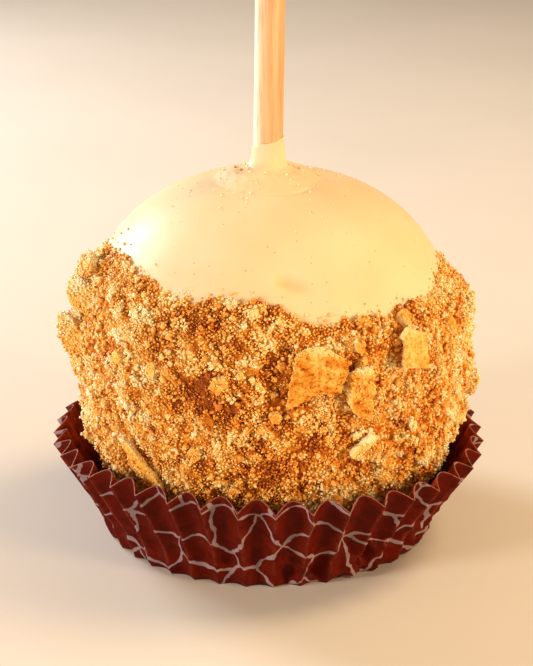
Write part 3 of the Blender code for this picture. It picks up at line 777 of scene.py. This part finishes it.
chance = np.random.default_rng(CHIPS_SEED)
chips = list(CHIPS)
for _ in range(MORE_CHIPS):
    width, length = chance.uniform(1.8, 4.4, size=2)
    chips.append((chance.uniform(75, 285), chance.uniform(16, 54), width, length,
                  chance.uniform(1.0, 2.4), chance.uniform(0, 180), chance.uniform(-8, 12),
                  chance.uniform(0.15, 0.5)))
chip_body = bmesh.new()
chip_body.verts.layers.float.new("tone")
for azimuth, height, width, length, thick, turn, tip, tone in chips:
    layer, thinning = layer_at(math.radians(azimuth), height * MM)
    place = side_frame(math.radians(azimuth), height * MM, layer)
    relief, _ = crumb_relief(place.translation - Vector((middle_at(height * MM), 0, 0)))
    rise = relief * (0.8 - 0.4 * thinning) + (0.7 + 0.35 * thick) * MM
    place @= Matrix.Translation((0, 0, rise))
    place @= Matrix.Rotation(math.radians(-tip), 4, "X") @ Matrix.Rotation(math.radians(turn), 4, "Z")
    one = chip((width * MM, length * MM, thick * MM), int(chance.integers(5, 8)))
    bmesh.ops.transform(one, matrix=place, verts=one.verts)
    one.normal_update()
    weathered(one, tone + 0.1, min(thick / 2.5, 1) * 0.6, place.to_3x3() @ Vector((0, 0, 1)),
              min(thick / 2, 1))
    mesh = bpy.data.meshes.new("chip")
    one.to_mesh(mesh)
    one.free()
    chip_body.from_mesh(mesh)
    bpy.data.meshes.remove(mesh)
chip_piece = made_piece("biscuit_chips", chip_body, [biscuit_finish])


# ---- Loose grains -----------------------------------------------------------------------------
# Single crumbs stand all over the packed layer, from sugar-fine grains to broken corners of
# biscuit. Each kind is one joined mesh of grains at their true size, seated in the layer.

SEED = 11
FINE_SPACING = 0.45 * MM
FINE_COUNT = 52000
FINE_MOST = 19500                 # of one kind
FINE_RADIUS = (0.24 * MM, 0.40 * MM)
SIZE_DRIFT = 0.45                 # grains are finer in some patches and coarser in others
SIFTED = 4.0 * MM
MEDIUM_COUNT = 4600
MEDIUM_RADIUS = (0.42 * MM, 0.85 * MM)
COARSE_COUNT = 100
COARSE_RADIUS = (0.8 * MM, 1.2 * MM)
CHIP_DUST = 0.08                  # share of grains on the chips, against the same area
TIP_PAINTED_HIGHLIGHT = 0.2                   # painted highlight: a grain's tip is paler by this much
FOOT_PAINTED_SHADE = 0.42               # and painted shade makes its foot browner
BARE_SIZE = 2.4 * MM              # in small patches few fine grains have stuck
luck = np.random.default_rng(SEED)


def rough_grains(count, base, roughness, seed):
    """Some irregular grain shapes, as arrays of points and of triangles."""
    shapes = []
    for number in range(count):
        grain = base()
        for point in grain.verts:
            bump = noise.noise(point.co * 1.3 + Vector((number * 7.1, seed, 0)))
            fine = noise.noise(point.co * 3.1 + Vector((seed, number * 5.3, 0)))
            point.co *= 1 + roughness * (bump + 0.5 * fine)
        bmesh.ops.triangulate(grain, faces=grain.faces)
        shapes.append((np.array([point.co for point in grain.verts]),
                       np.array([[point.index for point in face.verts] for face in grain.faces])))
        grain.free()
    return shapes


def bead():
    """The plainest grain: two five-sided points, end to end."""
    grain = bmesh.new()
    bmesh.ops.create_uvsphere(grain, u_segments=5, v_segments=2, radius=1)
    grain.verts.index_update()
    return grain


def nodule(sides, rings):
    """A rounder grain, for the sizes where its faces would show."""
    grain = bmesh.new()
    bmesh.ops.create_uvsphere(grain, u_segments=sides, v_segments=rings, radius=1)
    grain.verts.index_update()
    return grain


def any_turns(count):
    """Random rotations, as matrices."""
    w, x, y, z = luck.normal(size=(4, count)) + 1e-9
    size = np.sqrt(w * w + x * x + y * y + z * z)
    w, x, y, z = w / size, x / size, y / size, z / size
    rows = ((1 - 2 * (y * y + z * z), 2 * (x * y - z * w), 2 * (x * z + y * w)),
            (2 * (x * y + z * w), 1 - 2 * (x * x + z * z), 2 * (y * z - x * w)),
            (2 * (x * z - y * w), 2 * (y * z + x * w), 1 - 2 * (x * x + y * y)))
    return np.array(rows).transpose(2, 0, 1)


def joined_grains(name, shapes, spots, normals, scales, tones, surface):
    """Join grains into one piece: a shape for each spot, scaled, turned and placed."""
    pick = luck.integers(len(shapes), size=len(spots))
    points = np.array([shape[0] for shape in shapes])[pick]
    faces = np.array([shape[1] for shape in shapes])[pick]
    points = np.einsum("nij,nkj->nki", any_turns(len(spots)), points * scales[:, None, :])
    rise = np.einsum("nki,ni->nk", points, normals) / scales.mean(axis=1)[:, None]
    # Painted highlight towards each grain's outer tip and painted shade towards its foot, as tone.
    shades = tones[:, None] - TIP_PAINTED_HIGHLIGHT * np.clip(rise, 0, 1) - FOOT_PAINTED_SHADE * np.clip(rise, -1, 0)
    points += spots[:, None, :]
    faces = faces + (np.arange(len(spots)) * points.shape[1])[:, None, None]
    mesh = bpy.data.meshes.new(name)
    mesh.vertices.add(points.shape[0] * points.shape[1])
    mesh.vertices.foreach_set("co", points.astype(np.float32).ravel())
    corners = faces.reshape(-1, 3)
    mesh.loops.add(corners.size)
    mesh.loops.foreach_set("vertex_index", corners.astype(np.int32).ravel())
    mesh.polygons.add(len(corners))
    mesh.polygons.foreach_set("loop_start", np.arange(0, corners.size, 3, dtype=np.int32))
    mesh.update(calc_edges=True)
    toasted = mesh.attributes.new("tone", "FLOAT", "POINT")
    toasted.data.foreach_set("value", shades.astype(np.float32).ravel())
    return made_piece(name, mesh, [surface])


def face_values(piece, name):
    """A vertex attribute of a piece, averaged over each of its faces, which are quads or triangles."""
    mesh = piece.data
    values = np.empty(len(mesh.vertices))
    mesh.attributes[name].data.foreach_get("value", values)
    corners, starts = np.empty(len(mesh.loops), dtype=int), np.empty(len(mesh.polygons), dtype=int)
    mesh.loops.foreach_get("vertex_index", corners)
    mesh.polygons.foreach_get("loop_start", starts)
    return (values[corners[starts]] + values[corners[starts + 2]]) / 2


def spots_on(count, pieces, weigh):
    """Random spots on pieces, as places, normals, tones and how sunk they are.

    Each piece has its own share, and weigh says how likely a face is from its place and how sunk it is."""
    gathered = []
    for piece, share in pieces:
        mesh = piece.data
        total = len(mesh.polygons)
        middles, normals, areas = np.empty(total * 3), np.empty(total * 3), np.empty(total)
        mesh.polygons.foreach_get("center", middles)
        mesh.polygons.foreach_get("normal", normals)
        mesh.polygons.foreach_get("area", areas)
        middles, normals = middles.reshape(-1, 3), normals.reshape(-1, 3)
        tones, sunk = (face_values(piece, name) if name in mesh.attributes else np.zeros(total)
                       for name in ("tone", "sunk"))
        sideways = middles - np.array((APPLE_MIDDLE, 0, WIDEST))
        shown = (middles[:, 2] > SHOWN_FROM) & ((normals * sideways).sum(1) > 0)
        chances = areas * shown * share * weigh(middles, sunk)
        gathered.append((middles, normals, tones, sunk, chances, np.sqrt(areas)))
    middles, normals, tones, sunk, chances, sizes = (np.concatenate(each) for each in zip(*gathered))
    chosen = luck.choice(len(chances), size=count, p=chances / chances.sum())
    spread = luck.normal(size=(count, 3)) * sizes[chosen][:, None] * 0.4
    spread -= normals[chosen] * (spread * normals[chosen]).sum(1)[:, None]
    return middles[chosen] + spread, normals[chosen], tones[chosen], sunk[chosen]


def fine_share(places, sunk):
    """Fine grains are fewer where crumbs have sunk and in small patches, but not near the dip line."""
    drift = np.array([noise.noise(Vector(place) / BARE_SIZE) for place in places])
    edge = np.clip((places[:, 2] - DIP_MEAN) / EDGE_FADE + 1.5, 0, 1)
    return np.clip(0.75 + 0.5 * edge + 1.6 * drift - 0.55 * sunk, 0.12, 1) ** 2


def thinned(spots, spacing, most):
    """Indices of spots that keep their distance from each other, in order, up to a number."""
    cells, kept = {}, []
    steps = [(i, j, k) for i in (-1, 0, 1) for j in (-1, 0, 1) for k in (-1, 0, 1)]
    keys = np.floor(spots / spacing).astype(int).tolist()
    places = spots.tolist()
    reach = spacing ** 2
    for index, (x, y, z) in enumerate(keys):
        a, b, c = places[index]
        near = (cells.get((x + i, y + j, z + k)) for i, j, k in steps)
        if any(other and (a - other[0]) ** 2 + (b - other[1]) ** 2 + (c - other[2]) ** 2 < reach
               for other in near):
            continue
        cells[(x, y, z)] = (a, b, c)
        kept.append(index)
        if len(kept) == most:
            break
    return np.array(kept)


stuck = [(crumb_body, 1.0)]
for number, (name, count, sizes, detail, paler) in enumerate((
        ("pale_crumbs", MEDIUM_COUNT // 2, MEDIUM_RADIUS, (7, 5), 0.16),
        ("golden_crumbs", MEDIUM_COUNT // 2, MEDIUM_RADIUS, (7, 5), 0.02),
        ("coarse_crumbs", COARSE_COUNT, COARSE_RADIUS, (12, 9), 0.16))):
    spots, normals, tones, sunk = spots_on(count * 3, [(crumb_body, 1.0)],
                                           lambda places, sunk: 1 + 2.0 * sunk)
    kept = thinned(spots, sizes[0] * 1.8, count)
    spots, normals, tones, sunk = spots[kept], normals[kept], tones[kept], sunk[kept]
    radius = sizes[0] + (sizes[1] - sizes[0]) * luck.random(len(kept)) ** 2
    scales = radius[:, None] * luck.uniform(0.65, 1.25, size=(len(kept), 3))
    tones = tones - paler + luck.normal(size=len(kept)) * 0.12
    stuck.append((joined_grains(
        name, rough_grains(9, lambda: nodule(*detail), 0.42, 9 + number),
        spots + normals * (radius * (0.2 - 0.35 * sunk))[:, None], normals, scales, tones,
        crumb_finish(name[:-1], 0.0, 2100, 0.6, 0.2 * MM, 0.5, 0.5,
                     mottling=0.5, pore_shade=0.1)), 0.5))
stuck += dusty + [(chip_piece, CHIP_DUST)]

spots, normals, tones, sunk = spots_on(FINE_COUNT * 4, stuck, fine_share)
kept = thinned(spots, FINE_SPACING, FINE_COUNT)
spots, normals, tones, sunk = spots[kept], normals[kept], tones[kept], sunk[kept]
tones = tones + luck.normal(size=len(kept)) * (0.1 - 0.04 * sunk)
kinds = np.digitize(tones, np.quantile(tones, (0.25, 0.5, 0.75)))
fine_shapes = rough_grains(12, bead, 0.3, 3)
for number, name in enumerate(("pale", "straw", "golden", "toasted")):
    chosen = np.flatnonzero(kinds == number)[:FINE_MOST]
    count = len(chosen)
    radius = FINE_RADIUS[0] + (FINE_RADIUS[1] - FINE_RADIUS[0]) * luck.random(count) ** 1.4
    radius *= [1 + SIZE_DRIFT * noise.noise(Vector(spot) / SIFTED) for spot in spots[chosen]]
    scales = radius[:, None] * luck.uniform(0.7, 1.35, size=(count, 3))
    lift = (0.3 + 0.9 * luck.random(count) ** 2 - 0.8 * sunk[chosen]) * radius
    joined_grains(f"{name}_grains", fine_shapes, spots[chosen] + normals[chosen] * lift[:, None],
                  normals[chosen], scales, tones[chosen],
                  crumb_finish(f"{name}_grain", -0.08, 2600, 0.1, 0.03 * MM, 0.4, 0.8, mottling=0.2))


# ---- Dust on the coating ----------------------------------------------------------------------
# Handling shook a few crumbs loose: they stick to the bare coating just above the dip line and
# round the stick, and scraped shavings of the coating itself lie like dandruff on the crown.

STRAY_COUNT = 230
STRAY_REACH = 0.7 * MM            # most are this close above the dip line
STRAY_RADIUS = (0.12 * MM, 0.34 * MM)
CROWN_CRUMBS = 12
SHAVINGS = 190
SHAVING_RADIUS = (0.08 * MM, 0.24 * MM)
SHAVING_CREAM = (0.95, 0.83, 0.60)


def dried_coating():
    """Scraped shavings of the cream coating: dry, pale and matt."""
    made, tree, shader = finish("dried_coating", Roughness=0.7)
    place = placed(tree, "ShaderNodeTexCoord").outputs["Object"]
    cloud = placed(tree, "ShaderNodeTexNoise", {"Vector": place, "Scale": 900, "Detail": 3})
    tree.links.new(colour_steps(tree, cloud.outputs["Fac"], ((0.35, CREAM), (0.55, SHAVING_CREAM))),
                   shader.inputs["Base Color"])
    return made


def above_dip(places, sunk):
    heights = np.array([dip_height(azimuth_of(Vector(place))) for place in places])
    above = places[:, 2] - heights
    return np.where(above > 0, np.exp(-above / STRAY_REACH), 0.0)


def near_stick(reach):
    """Weights for spots on the crown, within about a distance of the stick."""
    return lambda places, sunk: (places[:, 2] > WIDEST) * (places[:, 2] < CROWN_TOP + MM) * np.exp(
        -(np.hypot(places[:, 0], places[:, 1]) / reach) ** 2)


coating = [(coated_apple, 1.0)]
spots, normals, _, _ = spots_on(STRAY_COUNT, coating, above_dip)
spots_by_stick, normals_by_stick, _, _ = spots_on(CROWN_CRUMBS, coating, near_stick(5.5 * MM))
spots, normals = np.concatenate((spots, spots_by_stick)), np.concatenate((normals, normals_by_stick))
radius = luck.uniform(*STRAY_RADIUS, size=len(spots))
joined_grains("stray_crumbs", rough_grains(8, lambda: nodule(6, 4), 0.4, 31),
              spots + normals * radius[:, None] * 0.7, normals,
              radius[:, None] * luck.uniform(0.8, 1.2, size=(len(spots), 3)),
              luck.uniform(0.1, 0.5, size=len(spots)),
              crumb_finish("stray_crumb", 0.0, 2400, 0.3, 0.06 * MM, 0.45, 0.25))
spots, normals, _, _ = spots_on(SHAVINGS, coating, near_stick(14 * MM))
radius = luck.uniform(*SHAVING_RADIUS, size=SHAVINGS)
joined_grains("coating_shavings", rough_grains(8, lambda: nodule(5, 3), 0.7, 43),
              spots + normals * radius[:, None] * 0.5, normals,
              radius[:, None] * luck.uniform(0.35, 1.5, size=(SHAVINGS, 3)),
              np.zeros(SHAVINGS), dried_coating())


# ---- Paper case -------------------------------------------------------------------------------
# A disc of thin greaseproof paper, printed on its outer side with a pale crackle of lines and
# pressed into pleats: sharp ridges outside with round flutes between them. The wall is springy,
# so its rim wanders, and its foot is a little crushed where it turns under the apple.

case_low, case_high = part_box("paper_case")
PLEATS = 40
SAMPLES_PER_PLEAT = 18
CASE_ROWS = 34
FIRST_PLEAT = math.radians(1.8)
FOOT_RADIUS = 34.2 * MM
RIM_RADIUS = 45.8 * MM
RIM_HEIGHT = 20.3 * MM
FOLD_SHARE = 0.12
PLEAT_DEPTH_FOOT = 1.2 * MM
PLEAT_DEPTH_RIM = 2.9 * MM
FLUTE_RISE = 1.9 * MM
RIM_OVAL = 0.8 * MM
RIM_OVAL_TURN = math.radians(25)
RIM_SAG = 1.0 * MM
RIM_SAG_TURN = math.radians(-18)
RIM_RUFFLE = 0.6 * MM
PAPER = 0.22 * MM
CRUSH_DEPTH = 1.3 * MM
CRUSH_SIZE = 4.0 * MM
CRUSH_TURN = math.radians(30)     # it is crushed most at the front right
CRUSH_SPAN = 0.5
LINE_WIDTH = 0.36 * MM
CELL_SIZE = 9.5 * MM
BROWN_PAPER = (0.12, 0.0062, 0.0006)
BROWN_DARK = (0.055, 0.003, 0.0004)
# Painted light: the unprinted inside is painted much lighter than the outside, standing in for light
# through the thin paper.
BROWN_INSIDE = (0.34, 0.040, 0.008)
PRINT_INK = (0.32, 0.225, 0.235)
# The painted highlight along the pleat ridges, and one of the cut edge's fibre colours.
RIDGE_HIGHLIGHT_AND_CUT_BROWN = (0.17, 0.022, 0.008)
BROWN_CUT = (0.34, 0.12, 0.07)


def case_place(azimuth, share):
    """Where the case's wall is at an azimuth, at a share of the way up it."""
    wander = 0.12 * noise.noise(facing(azimuth) * 3.1) * share
    phase = (azimuth - FIRST_PLEAT) * PLEATS / 2
    pleat = abs(math.sin(phase + wander))
    side = facing(azimuth)
    fold = eased(share, 0, 2 * FOLD_SHARE) * FOLD_SHARE
    rise = fold + share * (1 - FOLD_SHARE)
    depth = PLEAT_DEPTH_FOOT + (PLEAT_DEPTH_RIM - PLEAT_DEPTH_FOOT) * share
    ruffle = RIM_RUFFLE * noise.noise(side * PLEATS / 5)
    spread = ruffle + RIM_OVAL * math.cos(2 * (azimuth - RIM_OVAL_TURN))
    lift = ruffle + FLUTE_RISE * pleat + RIM_SAG * math.cos(2 * (azimuth - RIM_SAG_TURN))
    radius = FOOT_RADIUS + (RIM_RADIUS - FOOT_RADIUS + spread) * share - depth * pleat
    return side * radius + Vector((0, 0, RIM_HEIGHT * rise + lift * share))


def greaseproof(name, printed):
    """Brown greaseproof paper with a soft sheen, clouded fibres, a painted highlight along its pleat
    ridges, painted light on its unprinted inside and, on its outer side, the print.
    """
    made, tree, shader = finish(name, Roughness=0.48)
    shader.inputs["Specular IOR Level"].default_value = 0.06
    place = placed(tree, "ShaderNodeTexCoord").outputs["Object"]
    cloud = placed(tree, "ShaderNodeTexNoise", {"Vector": place, "Scale": 380, "Detail": 6,
                                                "Roughness": 0.7})
    # The inside gets its lighter colour, painted as light through the paper.
    light = BROWN_PAPER if printed else BROWN_INSIDE
    colour = colour_steps(tree, cloud.outputs["Fac"], ((0.3, BROWN_DARK), (0.62, light)))
    # Painted highlight along the pleat ridges, patchy with the fibres.
    painted_ridge_highlight = placed(tree, "ShaderNodeAttribute", attribute_name="painted_ridge_highlight").outputs["Fac"]
    patchy_ridge_highlight = sum_of(tree, "MULTIPLY", painted_ridge_highlight, stretch(tree, cloud.outputs["Fac"], 0.4, 0.6))
    colour = placed(tree, "ShaderNodeMix", {"Factor": patchy_ridge_highlight, 6: colour, 7: (*RIDGE_HIGHLIGHT_AND_CUT_BROWN, 1)},
                    data_type="RGBA").outputs[2]
    if printed:
        flat = placed(tree, "ShaderNodeUVMap", uv_map="flat_paper").outputs["UV"]
        bend = placed(tree, "ShaderNodeTexNoise", {"Vector": flat, "Scale": 26, "Detail": 2})
        shift = placed(tree, "ShaderNodeVectorMath", {0: bend.outputs["Color"], "Scale": 0.025},
                       operation="SCALE").outputs[0]
        bent = placed(tree, "ShaderNodeVectorMath", {0: flat, 1: shift}, operation="ADD").outputs[0]
        cells = placed(tree, "ShaderNodeTexVoronoi", {"Vector": bent, "Scale": 0.13 / CELL_SIZE},
                       feature="DISTANCE_TO_EDGE", voronoi_dimensions="2D")
        swell = placed(tree, "ShaderNodeTexNoise", {"Vector": flat, "Scale": 60, "Detail": 2})
        width = stretch(tree, swell.outputs["Fac"], 0.3, 0.7, LINE_WIDTH / CELL_SIZE * 0.6,
                        LINE_WIDTH / CELL_SIZE * 1.5)
        inside = sum_of(tree, "SUBTRACT", width, cells.outputs["Distance"])
        ink = stretch(tree, inside, 0.0, 0.012)
        worn = placed(tree, "ShaderNodeTexNoise", {"Vector": flat, "Scale": 900, "Detail": 3})
        ink = sum_of(tree, "MULTIPLY", ink, stretch(tree, worn.outputs["Fac"], 0.3, 0.55, 0.55, 0.95))
        colour = placed(tree, "ShaderNodeMix", {"Factor": ink, 6: colour, 7: (*PRINT_INK, 1)},
                        data_type="RGBA").outputs[2]
    tree.links.new(colour, shader.inputs["Base Color"])
    crinkle = placed(tree, "ShaderNodeTexNoise", {"Vector": place, "Scale": 700, "Detail": 5,
                                                  "Roughness": 0.6})
    bump = placed(tree, "ShaderNodeBump", {"Height": crinkle.outputs["Fac"], "Strength": 0.3,
                                           "Distance": 0.15 * MM})
    tree.links.new(bump.outputs["Normal"], shader.inputs["Normal"])
    return made


def cut_edge():
    """The cut edge of the paper, where its paler core shows."""
    made, tree, shader = finish("paper_cut_edge", Roughness=0.7)
    place = placed(tree, "ShaderNodeTexCoord").outputs["Object"]
    fibre = placed(tree, "ShaderNodeTexNoise", {"Vector": place, "Scale": 1500, "Detail": 3})
    tree.links.new(colour_steps(tree, fibre.outputs["Fac"], ((0.3, RIDGE_HIGHLIGHT_AND_CUT_BROWN), (0.65, BROWN_CUT))),
                   shader.inputs["Base Color"])
    return made


case_sides = PLEATS * SAMPLES_PER_PLEAT
case_body = bmesh.new()
ridge_highlight_layer = case_body.verts.layers.float.new("painted_ridge_highlight")
bmesh.ops.create_circle(case_body, cap_ends=True, segments=case_sides, radius=FOOT_RADIUS,
                        matrix=Matrix.Rotation(FIRST_PLEAT - math.pi / 2, 4, "Z"))
flat_places = {}
ring = list(case_body.edges)
for point in case_body.verts:
    turn = azimuth_of(point.co)
    point.co = case_place(turn, 0)
    flat_places[point] = (turn, FOOT_RADIUS)
for row in range(1, CASE_ROWS + 1):
    below = {point: flat_places[point] for edge in ring for point in edge.verts}
    grown = bmesh.ops.extrude_edge_only(case_body, edges=ring)["geom"]
    ring = [item for item in grown if isinstance(item, bmesh.types.BMEdge) and item.is_boundary]
    for point in {point for edge in ring for point in edge.verts}:
        turn = azimuth_of(point.co)
        foot = next(edge.other_vert(point) for edge in point.link_edges if edge not in ring
                    and edge.other_vert(point) in below)
        turn = below[foot][0]
        place = case_place(turn, row / CASE_ROWS)
        flat_places[point] = (turn, below[foot][1] + (place - foot.co).length)
        point.co = place
bmesh.ops.recalc_face_normals(case_body, faces=case_body.faces)
case_body.faces.ensure_lookup_table()
if case_body.faces[0].normal.z > 0:
    bmesh.ops.reverse_faces(case_body, faces=case_body.faces)
FLAT_SHEET = 0.13                 # width of the sheet the disc is cut from
flat_map = case_body.loops.layers.uv.new("flat_paper")
for face in case_body.faces:
    for corner in face.loops:
        turn, reach = flat_places[corner.vert]
        corner[flat_map].uv = (0.5 + reach * math.sin(turn) / FLAT_SHEET,
                               0.5 + reach * math.cos(turn) / FLAT_SHEET)
for point in case_body.verts:
    turn = flat_places[point][0]
    folded = abs(math.sin((turn - FIRST_PLEAT) * PLEATS / 2))
    # Painted highlight along the pleat ridges, fading out towards the foot.
    point[ridge_highlight_layer] = (1 - eased(folded, 0, 0.22)) * eased(point.co.z, 1 * MM, 6 * MM)
    low_down = 1 - eased(point.co.z, 5 * MM, 15 * MM)
    at_foot = eased(point.co.z, 0.0, 1.5 * MM)
    front_right = math.exp(-((azimuth_of(point.co) - CRUSH_TURN) / CRUSH_SPAN) ** 2)
    crush = CRUSH_DEPTH * (0.3 + front_right) * low_down * at_foot
    crease = 1 - 2.5 * abs(noise.noise(point.co / CRUSH_SIZE))
    point.co += facing(azimuth_of(point.co)) * crush * crease
    point.co.z += crush * 0.5 * noise.noise(point.co / CRUSH_SIZE * 1.7)
paper_case = made_piece("pleated_case", case_body, [greaseproof("printed_greaseproof", True),
                                                    greaseproof("plain_greaseproof", False),
                                                    cut_edge()],
                        ["paper_case"])
thickness = paper_case.modifiers.new("paper", "SOLIDIFY")
thickness.thickness = PAPER
thickness.offset = -1
thickness.use_even_offset = True
thickness.material_offset = 1
thickness.material_offset_rim = 2


# ---- Table, lights and camera -----------------------------------------------------------------
# A plain pale table under soft studio light: a large neutral window on the left, a warmer one on
# the right, a lamp low at each side of the front and a weak fill between them.

TABLE_SIZE = 6.0
TABLE_PALE = (0.74, 0.66, 0.57)
TABLE_SHADE = (0.70, 0.62, 0.53)
LIGHTS = (("left_window", (-0.50, 0.42, 0.30), 0.3, 4.9, (0.90, 0.93, 1.0)),
          ("right_window", (0.36, 0.11, 0.62), 0.3, 3.0, (1.0, 0.74, 0.44)),
          ("left_front", (-0.58, -0.37, 0.20), 0.18, 3.9, (1.0, 0.93, 0.85)),
          ("right_front", (0.56, -0.36, 0.15), 0.18, 3.7, (1.0, 0.73, 0.42)),
          ("front_fill", (0.05, -0.60, 0.30), 0.3, 0.35, (1.0, 0.84, 0.62)))
WORLD_LIGHT = (1.0, 0.82, 0.60)
WORLD_STRENGTH = 0.25

table_body = bmesh.new()
bmesh.ops.create_grid(table_body, x_segments=8, y_segments=8, size=TABLE_SIZE / 2)
table_mesh = bpy.data.meshes.new("table")
table_body.to_mesh(table_mesh)
table_body.free()
table_finish, tree, shader = finish("pale_table", Roughness=0.8)
table_cloud = placed(tree, "ShaderNodeTexNoise", {
    "Vector": placed(tree, "ShaderNodeTexCoord").outputs["Object"], "Scale": 9, "Detail": 5})
tree.links.new(colour_steps(tree, table_cloud.outputs["Fac"], ((0.3, TABLE_PALE), (0.7, TABLE_SHADE))),
               shader.inputs["Base Color"])
table_mesh.materials.append(table_finish)
table = bpy.data.objects.new("table", table_mesh)
bpy.context.scene.collection.objects.link(table)

for name, spot, size, power, colour in LIGHTS:
    light = bpy.data.lights.new(name, "AREA")
    light.shape = "DISK"
    light.size = size
    light.energy = power
    light.color = colour
    lamp = bpy.data.objects.new(name, light)
    lamp.location = spot
    lamp.rotation_euler = (Vector((0, 0, 0.045)) - Vector(spot)).to_track_quat("-Z", "Y").to_euler()
    bpy.context.scene.collection.objects.link(lamp)
world = bpy.data.worlds.new("studio")
world.use_nodes = True
world.node_tree.nodes["Background"].inputs["Color"].default_value = (*WORLD_LIGHT, 1)
world.node_tree.nodes["Background"].inputs["Strength"].default_value = WORLD_STRENGTH
bpy.context.scene.world = world
bpy.context.scene.view_settings.view_transform = "Standard"

FRAME_HEIGHT = 666                # of the picture
lens = bpy.data.cameras.new("camera")
lens.sensor_fit = "VERTICAL"
lens.sensor_height = 36
lens.lens = 36 * 1932 / FRAME_HEIGHT
lens.shift_x = -0.5 / FRAME_HEIGHT
lens.shift_y = 5 / FRAME_HEIGHT
lens.clip_start = 0.01
CAMERA_DISTANCE = 0.4
CAMERA_TILT = math.radians(20)
camera = bpy.data.objects.new("camera", lens)
camera.location = (-0.18 * MM, -CAMERA_DISTANCE * math.cos(CAMERA_TILT),
                   WIDEST + CAMERA_DISTANCE * math.sin(CAMERA_TILT))
camera.rotation_euler = (math.pi / 2 - CAMERA_TILT, 0, 0)
bpy.context.scene.collection.objects.link(camera)
bpy.context.scene.camera = camera
